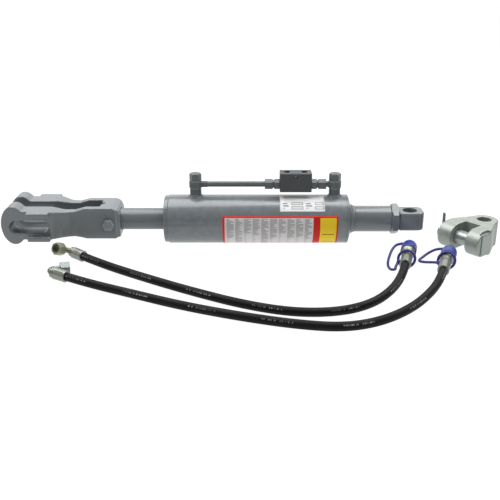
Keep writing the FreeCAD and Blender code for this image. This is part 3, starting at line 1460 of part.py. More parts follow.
for thing in doc.Objects:
    if "Invalid" in thing.State or "Error" in thing.State:
        raise RuntimeError(f"{thing.Name} failed: {thing.State}")
os.makedirs("parts", exist_ok=True)
for piece in parts:
    shape = piece.Shape
    if shape.isNull() or not shape.isValid() or not shape.Solids:
        raise RuntimeError(f"{piece.Label} has no valid solid")
for piece in parts:
    piece.Shape.exportStep(f"parts/{piece.Label}.step")
print(f"{len(parts)} sub-parts written")
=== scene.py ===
"""Looks of a tractor lift arm kit: paint, plating, welds, decals, hoses and tethers around its solids.

Sizes are in millimetres unless a name says otherwise.
"""
import json
import logging
import math
from dataclasses import dataclass, field
from enum import Enum
from typing import Callable, Iterable, Sequence

import bmesh
import bpy
from mathutils import Matrix, Vector
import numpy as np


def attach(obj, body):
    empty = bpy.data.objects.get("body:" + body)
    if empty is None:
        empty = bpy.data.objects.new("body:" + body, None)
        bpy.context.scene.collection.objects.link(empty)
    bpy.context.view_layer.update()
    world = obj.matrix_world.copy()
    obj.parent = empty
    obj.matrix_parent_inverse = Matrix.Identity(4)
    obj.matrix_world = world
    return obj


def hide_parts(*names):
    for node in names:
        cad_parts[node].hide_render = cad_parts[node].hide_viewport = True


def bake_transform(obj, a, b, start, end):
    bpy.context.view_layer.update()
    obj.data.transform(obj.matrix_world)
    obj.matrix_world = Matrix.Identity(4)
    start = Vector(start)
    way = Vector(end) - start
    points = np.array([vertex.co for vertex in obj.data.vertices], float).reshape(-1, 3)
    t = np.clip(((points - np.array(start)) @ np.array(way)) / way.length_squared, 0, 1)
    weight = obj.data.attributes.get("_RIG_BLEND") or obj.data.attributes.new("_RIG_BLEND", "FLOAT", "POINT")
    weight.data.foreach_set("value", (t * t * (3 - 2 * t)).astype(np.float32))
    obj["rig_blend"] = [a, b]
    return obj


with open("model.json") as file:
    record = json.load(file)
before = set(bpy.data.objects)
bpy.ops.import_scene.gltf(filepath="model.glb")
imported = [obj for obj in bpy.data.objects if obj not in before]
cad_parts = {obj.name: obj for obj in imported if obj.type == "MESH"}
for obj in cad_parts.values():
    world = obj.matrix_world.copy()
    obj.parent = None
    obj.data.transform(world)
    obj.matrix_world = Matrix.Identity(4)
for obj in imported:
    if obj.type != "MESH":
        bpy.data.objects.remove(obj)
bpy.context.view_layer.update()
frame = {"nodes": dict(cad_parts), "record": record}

LOG = logging.getLogger("lift_arm")
MM = 0.001
# Place of the arm's own origin in the row frame
ARM_ORIGIN = Vector((-4.18, 17.66, 0.0)) * MM
AXIS_HEIGHT = 45.0 * MM
# Distance under which two corners of a carried-over solid are one
MERGE = 2e-6
# Angle under which two faces of a solid lie in one plane
FLAT = math.radians(0.5)
# Angle over which an edge is a real one, in degrees
SHARP = 34.0
# Steps and order of the smooth line through a hose's or tether's points
LINE_STEPS = 14
LINE_ORDER = 3
# Largest share of a side that a rounded corner takes
CORNER_SHARE = 0.45
# Angles up the dust cap's dome, in degrees, closer together near its tip
DOME_ANGLES = (4, 14, 24, 34, 44, 53, 61, 68, 75, 81, 86)
BODY_OF = {node: body for body, nodes in frame["record"]["behaviour"]["bodies"].items() for node in nodes}
Point = tuple[float, float, float]
Outline = list[tuple[float, float]]
Socket = bpy.types.NodeSocket
Piece = bpy.types.Object
# Direction of the arm's axis, from the fork to the eye
ALONG = Vector((1.0, 0.0, 0.0))


def on_arm(x: float, y: float, z: float) -> Vector:
    """Give a point in the row frame, in metres, from millimetres along, across and above the arm's axis."""
    return Vector((x, y, z)) * MM + ARM_ORIGIN + Vector((0.0, 0.0, AXIS_HEIGHT))


def on_floor(point: Point) -> Vector:
    """Give a point in the row frame, in metres, from millimetres along, across and above the floor."""
    return Vector(point) * MM + ARM_ORIGIN


class Slot(Enum):
    ARM_PAINT = "arm_paint"
    BLOCK_PAINT = "block_paint"
    ROD_CHROME = "rod_chrome"
    BRIGHT_STEEL = "bright_steel"
    ZINC = "zinc_plate"
    RUBBER = "black_rubber"
    GUIDE_PLASTIC = "guide_plastic"
    BLUE_PLASTIC = "blue_plastic"


class Edge(Enum):
    """Width of the soft edge that a solid gets, in millimetres."""

    FINE = 0.25
    MACHINED = 0.5
    BROAD = 0.9


class Graph:
    """A node tree with short calls that add and join nodes."""

    def __init__(self, tree: bpy.types.NodeTree) -> None:
        """Take a tree and empty it."""
        self.tree = tree
        tree.nodes.clear()

    def add(self, kind: str, values: dict | None = None, **props: object) -> bpy.types.Node:
        """Add a node.

        Args:
            kind: the node's type name.
            values: inputs by name or number, each a value or another node's output.
            props: the node's own settings.

        Returns:
            The new node.
        """
        node = self.tree.nodes.new(kind)
        for name, value in props.items():
            setattr(node, name, value)
        for key, value in (values or {}).items():
            if isinstance(value, Socket):
                self.tree.links.new(value, node.inputs[key])
            else:
                node.inputs[key].default_value = value
        return node

    def math(self, operation: str, *values: object) -> Socket:
        """Add a math node and give its output."""
        return self.add("ShaderNodeMath", dict(enumerate(values)), operation=operation).outputs[0]

    def times(self, *values: object) -> Socket:
        """Multiply several values.

        Args:
            values: the values to multiply.

        Returns:
            The product.
        """
        product = values[0]
        for value in values[1:]:
            product = self.math("MULTIPLY", product, value)
        return product

    def spread(self, value: Socket, low: float, high: float, to_low: float = 0.0, to_high: float = 1.0) -> Socket:
        """Map a value from one span to another, kept inside the second."""
        node = self.add("ShaderNodeMapRange", {0: value, 1: low, 2: high, 3: to_low, 4: to_high})
        return node.outputs[0]

    def within(self, value: Socket, low: float, high: float) -> Socket:
        """Give 1 where a value lies between two limits, else 0."""
        return self.times(self.math("GREATER_THAN", value, low), self.math("LESS_THAN", value, high))

    def blend(self, share: object, first: object, second: object) -> Socket:
        """Mix two colours and give the result."""
        node = self.add("ShaderNodeMix", {0: share, 6: first, 7: second}, data_type="RGBA")
        return node.outputs[2]

    def noise(self, where: Socket, scale: float, detail: float = 3.0, roughness: float = 0.5) -> Socket:
        """Add a noise texture and give its value."""
        values = {"Vector": where, "Scale": scale, "Detail": detail, "Roughness": roughness}
        return self.add("ShaderNodeTexNoise", values).outputs[0]

    def axes(self, where: Socket) -> list[Socket]:
        """Split a vector into its three numbers."""
        return list(self.add("ShaderNodeSeparateXYZ", {0: where}).outputs)

    def vector(self, *numbers: object) -> Socket:
        """Join up to three numbers into a vector."""
        return self.add("ShaderNodeCombineXYZ", dict(enumerate(numbers))).outputs[0]

    def scaled(self, vector: Socket, length: Socket) -> Socket:
        """Scale a vector."""
        return self.add("ShaderNodeVectorMath", {0: vector, "Scale": length}, operation="SCALE").outputs[0]

    def bump(self, height: object, distance: float, strength: float = 1.0, below: Socket | None = None) -> Socket:
        """Add a bump of a height in metres, over another bump if one is given.

        Args:
            height: the height pattern.
            distance: its depth in metres.
            strength: how far it counts.
            below: a bump to lay it over.

        Returns:
            The normal.
        """
        values = {"Height": height, "Strength": strength, "Distance": distance}
        if below is not None:
            values["Normal"] = below
        return self.add("ShaderNodeBump", values).outputs[0]


class Surface(Graph):
    """A material's tree with its one shader."""

    def __init__(self, material: bpy.types.Material) -> None:
        """Empty a material's tree and give it a shader.

        Args:
            material: the material.
        """
        material.use_nodes = True
        super().__init__(material.node_tree)
        self.shader = self.add("ShaderNodeBsdfPrincipled")
        self.add("ShaderNodeOutputMaterial", {"Surface": self.shader.outputs[0]}).is_active_output = True

    def join(self, label: str, value: Socket) -> None:
        """Link a value to one of the shader's sockets."""
        self.tree.links.new(value, self.shader.inputs[label])

    def fix(self, values: dict[str, object]) -> None:
        """Set sockets of the shader that are the same all over."""
        for label, value in values.items():
            self.shader.inputs[label].default_value = value

    def on_solid(self) -> Socket:
        """Give the place on the solid, in metres."""
        return self.add("ShaderNodeTexCoord").outputs["Object"]

    def on_sheet(self) -> list[Socket]:
        """Give the place on the UV map, in millimetres, as its numbers."""
        return self.axes(self.add("ShaderNodeUVMap", uv_map="UVMap").outputs[0])


class RuleTree(Graph):
    """A Geometry Nodes tree with named inputs, whose result becomes a plain mesh."""

    def __init__(self, name: str, inputs: dict[str, float]) -> None:
        """Start a tree.

        Args:
            name: the tree's name.
            inputs: the names of its inputs and their first values.
        """
        super().__init__(bpy.data.node_groups.new(name, "GeometryNodeTree"))
        sides = self.tree.interface
        sides.new_socket("Geometry", in_out="INPUT", socket_type="NodeSocketGeometry")
        sides.new_socket("Geometry", in_out="OUTPUT", socket_type="NodeSocketGeometry")
        for label, value in inputs.items():
            sides.new_socket(label, in_out="INPUT", socket_type="NodeSocketFloat").default_value = value
        sides.new_socket("Material", in_out="INPUT", socket_type="NodeSocketMaterial")
        self.entry = self.add("NodeGroupInput")
        self.where = self.add("GeometryNodeInputPosition").outputs[0]

    def given(self, label: str) -> Socket:
        """Give the output that carries one of the tree's inputs."""
        return self.entry.outputs[label]

    def face_weight(self) -> Socket:
        """Give the weight that keeps a rule on the outer face."""
        return self.add("GeometryNodeInputNamedAttribute", {"Name": "face"}, data_type="FLOAT").outputs[0]

    def turns(self) -> Socket:
        """Give the share of a turn about Z at which a point lies."""
        x, y, _ = self.axes(self.where)
        return self.math("DIVIDE", self.math("ARCTAN2", y, x), 2.0 * math.pi)

    def close(self, offset: Socket | None, position: Socket | None = None) -> None:
        """Move the points, realise, set the material and end the tree.

        Args:
            offset: how far each point moves, or None.
            position: where each point goes, or None.
        """
        values = {"Geometry": self.given("Geometry")}
        if offset is not None:
            values["Offset"] = offset
        if position is not None:
            values["Position"] = position
        moved = self.add("GeometryNodeSetPosition", values).outputs[0]
        whole = self.add("GeometryNodeRealizeInstances", {0: moved}).outputs[0]
        painted = self.add("GeometryNodeSetMaterial", {"Geometry": whole, "Material": self.given("Material")})
        self.add("NodeGroupOutput", {0: painted.outputs[0]})

    def shape(self, piece: Piece, material: bpy.types.Material, **values: float) -> None:
        """Run the tree on a piece and keep the result as its mesh.

        Args:
            piece: the piece, in its own frame.
            material: the material of the result.
            values: the tree's inputs, by name.
        """
        modifier = piece.modifiers.new(self.tree.name, "NODES")
        modifier.node_group = self.tree
        wanted = {**values, "Material": material}
        for item in self.tree.interface.items_tree:
            if item.in_out == "INPUT" and item.name in wanted:
                modifier[item.identifier] = wanted[item.name]
        bake(piece)


def ripple_tree() -> RuleTree:
    """Build the tree that lays the ripples of a weld bead along its ring.

    Returns:
        The tree.
    """
    tree = RuleTree("weld_ripples", {"Ripples": 60.0, "Depth": 0.0004, "Lean": 120.0})
    _, _, z = tree.axes(tree.where)
    uneven = tree.noise(tree.where, 260.0, 1.0)
    count = tree.times(tree.turns(), tree.given("Ripples"))
    leaning = tree.math("ADD", count, tree.times(z, tree.given("Lean")))
    phase = tree.math("FRACT", tree.math("ADD", leaning, tree.times(uneven, 0.7)))
    arch = tree.times(phase, tree.math("SUBTRACT", 1.0, phase), 4.0)
    depth = tree.times(tree.math("SUBTRACT", arch, 0.75), tree.given("Depth"), tree.face_weight())
    tree.close(tree.scaled(tree.add("GeometryNodeInputNormal").outputs[0], depth))
    return tree


def inward_tree(name: str, inputs: dict[str, float], depth: Callable[[RuleTree], Socket]) -> RuleTree:
    """Build a tree that draws the points of a turned shape in towards its axis.

    Args:
        name: the tree's name.
        inputs: its inputs and their first values.
        depth: gives how far each point goes in, in metres.

    Returns:
        The tree.
    """
    tree = RuleTree(name, inputs)
    x, y, _ = tree.axes(tree.where)
    outward = tree.add("ShaderNodeVectorMath", {0: tree.vector(x, y)}, operation="NORMALIZE").outputs[0]
    tree.close(tree.scaled(outward, tree.times(depth(tree), -1.0)))
    return tree


def thread_depth(tree: RuleTree) -> Socket:
    """Give the depth of a screw thread: a triangle wave along the axis that climbs one pitch a turn.

    Args:
        tree: the tree that it is for.

    Returns:
        The depth in metres.
    """
    _, _, z = tree.axes(tree.where)
    climb = tree.math("SUBTRACT", tree.math("DIVIDE", z, tree.given("Pitch")), tree.turns())
    return tree.times(tree.math("PINGPONG", climb, 0.5), 2.0, tree.given("Depth"))


def crimp_depth(tree: RuleTree) -> Socket:
    """Give the depth of a crimp: one shallow flat for each jaw, inside the pressed stretch.

    Args:
        tree: the tree that it is for.

    Returns:
        The depth in metres.
    """
    _, _, z = tree.axes(tree.where)
    angle = tree.times(tree.turns(), tree.given("Jaws"), 2.0 * math.pi)
    flat = tree.spread(tree.math("COSINE", angle), -0.9, 0.2)
    into, past = (tree.times(tree.math("SUBTRACT", *ends), 1.0 / MM)
                  for ends in ((z, tree.given("Start")), (tree.given("End"), z)))
    pressed = tree.spread(tree.math("MINIMUM", into, past), 0.0, 1.5)
    return tree.times(flat, pressed, tree.face_weight(), tree.given("Depth"))


def wrap_tree() -> RuleTree:
    """Build the tree that wraps a flat sheet, X along and Y around, on a round tube.

    Returns:
        The tree.
    """
    tree = RuleTree("decal_wrap", {"Radius": 0.045})
    x, y, _ = tree.axes(tree.where)
    angle = tree.math("DIVIDE", y, tree.given("Radius"))
    across = tree.times(tree.math("COSINE", angle), tree.given("Radius"), -1.0)
    up = tree.times(tree.math("SINE", angle), tree.given("Radius"))
    tree.close(None, tree.vector(x, across, up))
    return tree


# Finishes

def colour(red: int, green: int, blue: int) -> tuple[float, float, float, float]:
    """Give a linear colour from the 0 to 255 values that a screen shows.

    Args:
        red: the red channel.
        green: the green channel.
        blue: the blue channel.

    Returns:
        The linear colour.
    """
    def linear(value: int) -> float:
        """Give one channel's linear value."""
        share = value / 255.0
        return share / 12.92 if share <= 0.04045 else ((share + 0.055) / 1.055) ** 2.4
    return (linear(red), linear(green), linear(blue), 1.0)


def shaded(rgba: Sequence[float], factor: float) -> tuple[float, ...]:
    """Make a colour darker or lighter by a factor."""
    return tuple(min(1.0, c * factor) for c in rgba[:3]) + (1.0,)


@dataclass(frozen=True)
class Finish:
    """A surface finish: its colour, its gloss and the grain that shows close up."""

    name: str
    tint: tuple[float, ...]
    roughness: float = 0.4
    metallic: float = 0.0
    cloud: float = 0.12
    cloud_scale: float = 25.0
    grain_scale: float = 900.0
    grain_depth: float = 0.00002
    gloss_spread: float = 0.08
    specular: float = 0.5

    def build(self) -> bpy.types.Material:
        """Make the material, or give the one already made.

        Returns:
            The material.
        """
        made = bpy.data.materials.get(self.name)
        if made:
            return made
        material = bpy.data.materials.new(self.name)
        graph = Surface(material)
        graph.fix({"Metallic": self.metallic, "Specular IOR Level": self.specular})
        self.dress(graph)
        return material

    def clouded(self, graph: Graph, cloud: Socket) -> Socket:
        """Give the colour with its slow variation over the surface."""
        share = graph.spread(cloud, 0.3, 0.7)
        return graph.blend(share, shaded(self.tint, 1.0 - self.cloud), shaded(self.tint, 1.0 + self.cloud))

    def gloss(self, graph: Graph, pattern: Socket, low: float = 0.3, high: float = 0.7) -> Socket:
        """Give the roughness, which follows a pattern to both sides of its own value."""
        middle, reach = self.roughness, self.gloss_spread
        return graph.spread(pattern, low, high, middle - reach, middle + reach)

    def dress(self, graph: Surface) -> None:
        """Set the shader's colour, gloss and grain.

        Args:
            graph: the material's nodes.
        """
        where = graph.on_solid()
        cloud = graph.noise(where, self.cloud_scale)
        graph.join("Base Color", self.clouded(graph, cloud))
        graph.join("Roughness", self.gloss(graph, cloud, 0.25, 0.75))
        graph.join("Normal", graph.bump(graph.noise(where, self.grain_scale, 2.0), self.grain_depth, 0.6))


@dataclass(frozen=True)
class Paint(Finish):
    """Sprayed paint: a fine orange peel, patches of dust and thin paint on worn edges."""

    worn: float = 0.22
    dust: float = 0.1
    spray_scale: float = 95.0

    def dress(self, graph: Surface) -> None:
        """Set the paint's colour, gloss and orange peel.

        Args:
            graph: the material's nodes.
        """
        where = graph.on_solid()
        cloud = graph.noise(where, self.cloud_scale, 4.0)
        spray = graph.noise(where, self.spray_scale, 5.0, 0.65)
        colour_now = self.clouded(graph, cloud)
        dusty = graph.times(graph.spread(spray, 0.52, 0.75), self.dust)
        colour_now = graph.blend(dusty, colour_now, shaded(self.tint, 1.6))
        ridge = graph.add("ShaderNodeNewGeometry").outputs["Pointiness"]
        edge = graph.times(graph.spread(ridge, 0.52, 0.62), graph.spread(spray, 0.4, 0.6, 0.3, 1.0),
                           self.worn)
        colour_now = graph.blend(edge, colour_now, shaded(self.tint, 2.1))
        graph.join("Base Color", colour_now)
        graph.join("Roughness", self.gloss(graph, spray))
        slow = graph.bump(graph.noise(where, self.grain_scale, 1.0), self.grain_depth, 0.7)
        fine = graph.noise(where, self.grain_scale * 4.0, 1.0)
        graph.join("Normal", graph.bump(fine, self.grain_depth / 5, 0.5, slow))


@dataclass(frozen=True)
class RodSurface(Finish):
    """Hard chrome with its fine polish, under overspray where the rod stood out of the gland when sprayed."""

    paint: tuple[float, ...] = (0.1, 0.1, 0.1, 1.0)
    paint_end: float = -0.1635
    paint_roughness: float = 0.26
    ragged: float = 0.0012
    fade: float = 0.0008

    def dress(self, graph: Surface) -> None:
        """Set the chrome and the paint over it, split by the place along the rod.

        Args:
            graph: the material's nodes.
        """
        where = graph.on_solid()
        x, _, _ = graph.axes(where)
        edge = graph.math("ADD", x, graph.times(graph.noise(where, 160.0), self.ragged))
        painted = graph.spread(edge, self.paint_end, self.paint_end + self.fade, 1.0, 0.0)
        polish = graph.noise(graph.vector(graph.times(x, 40.0)), 90.0, 2.0)
        cloud = graph.noise(where, self.cloud_scale)
        graph.join("Base Color", graph.blend(painted, self.clouded(graph, cloud), self.paint))
        rough = {0: painted, 2: self.gloss(graph, polish), 3: self.paint_roughness}
        graph.join("Roughness", graph.add("ShaderNodeMix", rough).outputs[0])
        graph.join("Metallic", graph.math("SUBTRACT", 1.0, painted))
        grain = graph.times(graph.noise(where, self.grain_scale, 1.0), painted)
        graph.join("Normal", graph.bump(grain, self.grain_depth, 0.7))


@dataclass(frozen=True)
class HoseRubber(Finish):
    """Cloth-wrapped rubber: a fine weave, the wrap's slow spiral and a pale lay line of plain dashes."""

    line_place: float = 6.6
    line_width: float = 2.4
    line_tint: tuple[float, ...] = (0.2, 0.2, 0.2, 1.0)
    weave: float = 1.1
    weave_depth: float = 0.00006
    wrap: float = 46.0
    girth: float = 45.2
    group: float = 118.0

    def dress(self, graph: Surface) -> None:
        """Set the rubber by millimetres along and around the hose.

        Args:
            graph: the material's nodes.
        """
        along, around, _ = graph.on_sheet()
        cloud = graph.noise(graph.on_solid(), self.cloud_scale, 4.0)
        dash = graph.noise(graph.vector(along), 0.33, 1.0)
        group = graph.math("LESS_THAN", graph.math("FRACT", graph.math("DIVIDE", along, self.group)), 0.4)
        half = self.line_width / 2
        marked = graph.times(graph.within(around, self.line_place - half, self.line_place + half),
                             graph.math("GREATER_THAN", dash, 0.5), group,
                             graph.spread(cloud, 0.35, 0.6, 0.25, 1.0))
        graph.join("Base Color", graph.blend(marked, self.clouded(graph, cloud), self.line_tint))
        graph.join("Roughness", self.gloss(graph, cloud))
        rows = [graph.math("SINE", graph.times(graph.math(way, along, around), 2.0 * math.pi / self.weave))
                for way in ("ADD", "SUBTRACT")]
        spiral = graph.math("FRACT", graph.math("ADD", graph.math("DIVIDE", along, self.wrap),
                                                graph.math("DIVIDE", around, self.girth)))
        seam = graph.spread(spiral, 0.0, 0.06, 1.0, 0.0)
        height = graph.math("ADD", graph.times(rows[0], rows[1], 0.35), seam)
        graph.join("Normal", graph.bump(height, self.weave_depth, 0.7))


@dataclass(frozen=True)
class Box:
    """A plain printed box on a decal, in millimetres from the decal's lower left corner."""

    left: float
    right: float
    low: float
    high: float
    tint: tuple[float, ...]
    rules: float = 0.0
    columns: float = 0.0


@dataclass(frozen=True)
class Print(Finish):
    """A printed film with plain coloured boxes, some of them ruled with short grey lines."""

    boxes: tuple[Box, ...] = ()

    def dress(self, graph: Surface) -> None:
        """Set the film's colour, box over box, and its slight gloss.

        Args:
            graph: the material's nodes.
        """
        x, y, _ = graph.on_sheet()
        cloud = graph.noise(graph.on_solid(), self.cloud_scale)
        now = self.clouded(graph, cloud)
        for box in self.boxes:
            inside = graph.times(graph.within(x, box.left, box.right), graph.within(y, box.low, box.high))
            if box.rules:
                inside = graph.times(inside, self.ruled(graph, box, x, y))
            now = graph.blend(inside, now, box.tint)
        graph.join("Base Color", now)
        graph.join("Roughness", graph.spread(cloud, 0.3, 0.7, self.roughness, self.roughness + 0.1))

    def ruled(self, graph: Graph, box: Box, x: Socket, y: Socket) -> Socket:
        """Give the share of ink of short ruled lines, each column and row with its own length.

        Args:
            graph: the material's nodes.
            box: the ruled box.
            x: millimetres along the film.
            y: millimetres up the film.

        Returns:
            The share, from 0 to 1.
        """
        column = graph.math("DIVIDE", graph.math("SUBTRACT", x, box.left), box.columns)
        row = graph.math("DIVIDE", y, box.rules)
        cell = [graph.math("FLOOR", value) for value in (column, row)]
        length = graph.add("ShaderNodeTexWhiteNoise", {"Vector": graph.vector(*cell)}).outputs[0]
        block = graph.add("ShaderNodeTexWhiteNoise", {"W": cell[0]}, noise_dimensions="1D").outputs[0]
        depth = graph.spread(block, 0.0, 1.0, box.low, box.low + (box.high - box.low) * 0.6)
        filled = graph.spread(graph.math("SUBTRACT", y, depth), 0.0, 0.1, 0.45, 1.0)
        reach = graph.times(graph.spread(length, 0.0, 0.5, 0.4, 0.9), filled)
        share = graph.math("FRACT", column)
        line = graph.times(graph.math("LESS_THAN", share, reach), graph.math("GREATER_THAN", share, 0.08))
        return graph.times(line, graph.math("LESS_THAN", graph.math("FRACT", row), 0.6), filled)


PAINT_TINT = colour(101, 107, 110)
ARM_PAINT = Paint("sprayed_paint", PAINT_TINT, 0.24, cloud=0.03, gloss_spread=0.03, grain_scale=260.0,
                  grain_depth=0.000006, specular=0.75)
BLOCK_PAINT = Paint("block_coat", colour(56, 60, 63), 0.42, cloud=0.05, grain_scale=500.0,
                    grain_depth=0.00001, worn=0.1)
FITTING_PAINT = Paint("fitting_paint", colour(80, 86, 88), 0.36, cloud=0.05, grain_scale=500.0, grain_depth=0.00001)
# A lighter copy of the arm paint for the cross bolt: the lighter tint all over is a painted highlight for its bright
# lit side, and the lighter rubbed edges are real wear.
LIT_WORN_PAINT = Paint("lit_worn_paint", colour(118, 124, 126), 0.26, cloud=0.08, grain_scale=500.0, worn=0.6)
CHROME = RodSurface("rod_surface", colour(205, 208, 210), 0.12, cloud=0.02, gloss_spread=0.03, metallic=1.0,
                    grain_scale=260.0, grain_depth=0.000006, paint=PAINT_TINT)
BRIGHT_STEEL = Finish("polished_steel", colour(186, 188, 188), 0.28, metallic=1.0, cloud=0.05)
ZINC = Finish("satin_zinc", colour(150, 156, 149), 0.44, metallic=0.5, cloud=0.09, cloud_scale=60.0)
PIN_ZINC = Finish("bright_zinc", colour(148, 156, 153), 0.32, metallic=0.65, cloud=0.06, cloud_scale=60.0)
PALE_ZINC = Finish("passivated_zinc", colour(140, 142, 122), 0.42, metallic=0.5, cloud=0.12, cloud_scale=90.0)
BLUE_ZINC = Finish("blue_zinc", colour(122, 130, 129), 0.36, metallic=0.55, cloud=0.12, cloud_scale=90.0)
FERRULE_ZINC = Finish("ferrule_zinc", colour(140, 143, 135), 0.4, metallic=0.8, cloud=0.1, cloud_scale=90.0)
RUBBER = HoseRubber("wrapped_rubber", colour(8, 8, 8), 0.6, cloud=0.3, specular=0.2, line_tint=colour(128, 128, 128))
SEAL_RUBBER = Finish("seal_rubber", colour(30, 30, 31), 0.5, grain_scale=1500.0)
GUIDE_PLASTIC = Finish("guide_resin", colour(60, 52, 44), 0.5)
BLUE_PLASTIC = Finish("cap_plastic", colour(24, 42, 128), 0.34, cloud=0.06, grain_scale=700.0)
NAVY_PLASTIC = Finish("navy_plastic", colour(38, 34, 112), 0.42, cloud=0.08, grain_scale=900.0)

SLOT_FINISHES = {
    Slot.ARM_PAINT: ARM_PAINT, Slot.BLOCK_PAINT: BLOCK_PAINT, Slot.ROD_CHROME: CHROME,
    Slot.BRIGHT_STEEL: BRIGHT_STEEL, Slot.ZINC: ZINC, Slot.RUBBER: SEAL_RUBBER,
    Slot.GUIDE_PLASTIC: GUIDE_PLASTIC, Slot.BLUE_PLASTIC: BLUE_PLASTIC,
}


# Meshes

def paint_nodes(nodes: Iterable[str], finish: Finish) -> None:
    """Give carried-over solids a finish.

    Args:
        nodes: the solids.
        finish: the finish.
    """
    for name in nodes:
        slots = frame["nodes"][name].data.materials
        slots.clear()
        slots.append(finish.build())


def new_object(name: str, data: bpy.types.ID) -> Piece:
    """Link a mesh, curve, light or camera to the scene as an object at the origin.

    Args:
        name: the object's name.
        data: what it shows.

    Returns:
        The object.
    """
    made = bpy.data.objects.new(name, data)
    bpy.context.scene.collection.objects.link(made)
    return made


def finished(name: str, bm: bmesh.types.BMesh, outward: bool = True) -> Piece:
    """End the building of a mesh and give it as a piece.

    Args:
        name: the piece's name.
        bm: the mesh.
        outward: whether its faces are first turned outward.

    Returns:
        The piece.
    """
    if outward:
        bmesh.ops.recalc_face_normals(bm, faces=bm.faces)
    mesh = bpy.data.meshes.new(name)
    bm.to_mesh(mesh)
    bm.free()
    return new_object(name, mesh)


def circle(count: int) -> list[float]:
    """Give evenly spaced angles over a full turn."""
    return [2.0 * math.pi * step / count for step in range(count)]


def polar(radius: float, angle: float, height: float) -> Point:
    """Give a point in metres from millimetres out from the Z axis and along it."""
    return radius * MM * math.cos(angle), radius * MM * math.sin(angle), height * MM


def bridge(bm: bmesh.types.BMesh, near: Sequence, far: Sequence) -> list[bmesh.types.BMFace]:
    """Join two closed rings of points with smooth faces, where a ring of one point is a tip.

    Args:
        bm: the mesh.
        near: the first ring.
        far: the second ring.

    Returns:
        The faces.
    """
    sides = max(len(near), len(far))
    faces = []
    for step in range(sides):
        places = ((near, step), (near, step + 1), (far, step + 1), (far, step))
        corners = list(dict.fromkeys(ring[place % len(ring)] for ring, place in places))
        if len(corners) > 2:
            faces.append(bm.faces.new(corners))
            faces[-1].smooth = True
    return faces


def evaluated(piece: Piece) -> bpy.types.Mesh:
    """Give the mesh that a piece shows with its modifiers, or a curve with its steps."""
    return bpy.data.meshes.new_from_object(piece.evaluated_get(bpy.context.evaluated_depsgraph_get()))


def bake(piece: Piece) -> None:
    """Turn a piece's modifiers into its plain mesh.

    Args:
        piece: the piece.
    """
    mesh, raw = evaluated(piece), piece.data
    piece.modifiers.clear()
    piece.data = mesh
    bpy.data.meshes.remove(raw)


def stand_in(piece: Piece, nodes: Sequence[str], finish: Finish) -> Piece:
    """Let a piece take the place of carried-over solids: give it a finish, put it on their body and hide them.

    Args:
        piece: the piece, in place.
        nodes: the solids that it stands for.
        finish: its finish.

    Returns:
        The piece.
    """
    piece.data.materials.clear()
    piece.data.materials.append(finish.build())
    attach(piece, BODY_OF[nodes[0]])
    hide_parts(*nodes)
    LOG.info("%s: %d faces on %s", piece.name, len(piece.data.polygons), BODY_OF[nodes[0]])
    return piece


def merged_copy(node: str, name: str, cut_at: float | None = None) -> Piece:
    """Copy a carried-over solid with its loose triangles joined.

    Args:
        node: the solid.
        name: the copy's name.
        cut_at: a place along the arm in metres behind which the copy is cut off and closed.

    Returns:
        The copy.
    """
    bm = bmesh.new()
    bm.from_mesh(frame["nodes"][node].data)
    bmesh.ops.remove_doubles(bm, verts=bm.verts, dist=MERGE)
    if cut_at is not None:
        whole = bm.verts[:] + bm.edges[:] + bm.faces[:]
        cut = bmesh.ops.bisect_plane(bm, geom=whole, plane_co=(cut_at, 0.0, 0.0), plane_no=(1.0, 0.0, 0.0),
                                     clear_inner=True)
        rim = [e for e in cut["geom_cut"] if isinstance(e, bmesh.types.BMEdge)]
        bmesh.ops.edgeloop_fill(bm, edges=rim)
    bmesh.ops.dissolve_limit(bm, angle_limit=FLAT, verts=bm.verts, edges=bm.edges)
    for face in bm.faces:
        face.smooth = True
    piece = finished(name, bm, outward=False)
    held = piece.data.attributes
    if "custom_normal" in held:
        held.remove(held["custom_normal"])
    return piece


def ease(node: str, edge: Edge, finish: Finish) -> Piece:
    """Replace a machined solid with a copy whose edges are soft.

    Args:
        node: the solid.
        edge: the width of its edges.
        finish: its finish.

    Returns:
        The eased piece.
    """
    piece = merged_copy(node, f"{node}_eased")
    bevel = piece.modifiers.new("edges", "BEVEL")
    bevel.width = edge.value * MM
    bevel.segments = 2
    bevel.limit_method = "ANGLE"
    bevel.angle_limit = math.radians(SHARP)
    bevel.harden_normals = True
    bake(piece)
    return stand_in(piece, [node], finish)


def cast(node: str, grain: float, passes: int, finish: Finish, cut_at: float | None = None) -> Piece:
    """Replace a cast or forged solid with a copy whose edges and corners are round.

    Args:
        node: the solid.
        grain: the size of the copy's faces in millimetres.
        passes: how often its surface is evened out.
        finish: its finish.
        cut_at: a place along the arm in metres behind which it is cut off.

    Returns:
        The cast piece.
    """
    piece = merged_copy(node, f"{node}_cast", cut_at)
    skin = piece.modifiers.new("skin", "REMESH")
    skin.mode = "VOXEL"
    skin.voxel_size = grain * MM
    skin.use_smooth_shade = True
    even = piece.modifiers.new("even", "SMOOTH")
    even.factor = 0.5
    even.iterations = passes
    bake(piece)
    return stand_in(piece, [node], finish)


def frame_at(origin: Vector, axis: Vector) -> Matrix:
    """Give the matrix that takes a turned shape's Z axis to a place and direction."""
    turn = axis.normalized().to_track_quat("Z", "Y").to_matrix().to_4x4()
    return Matrix.Translation(origin) @ turn


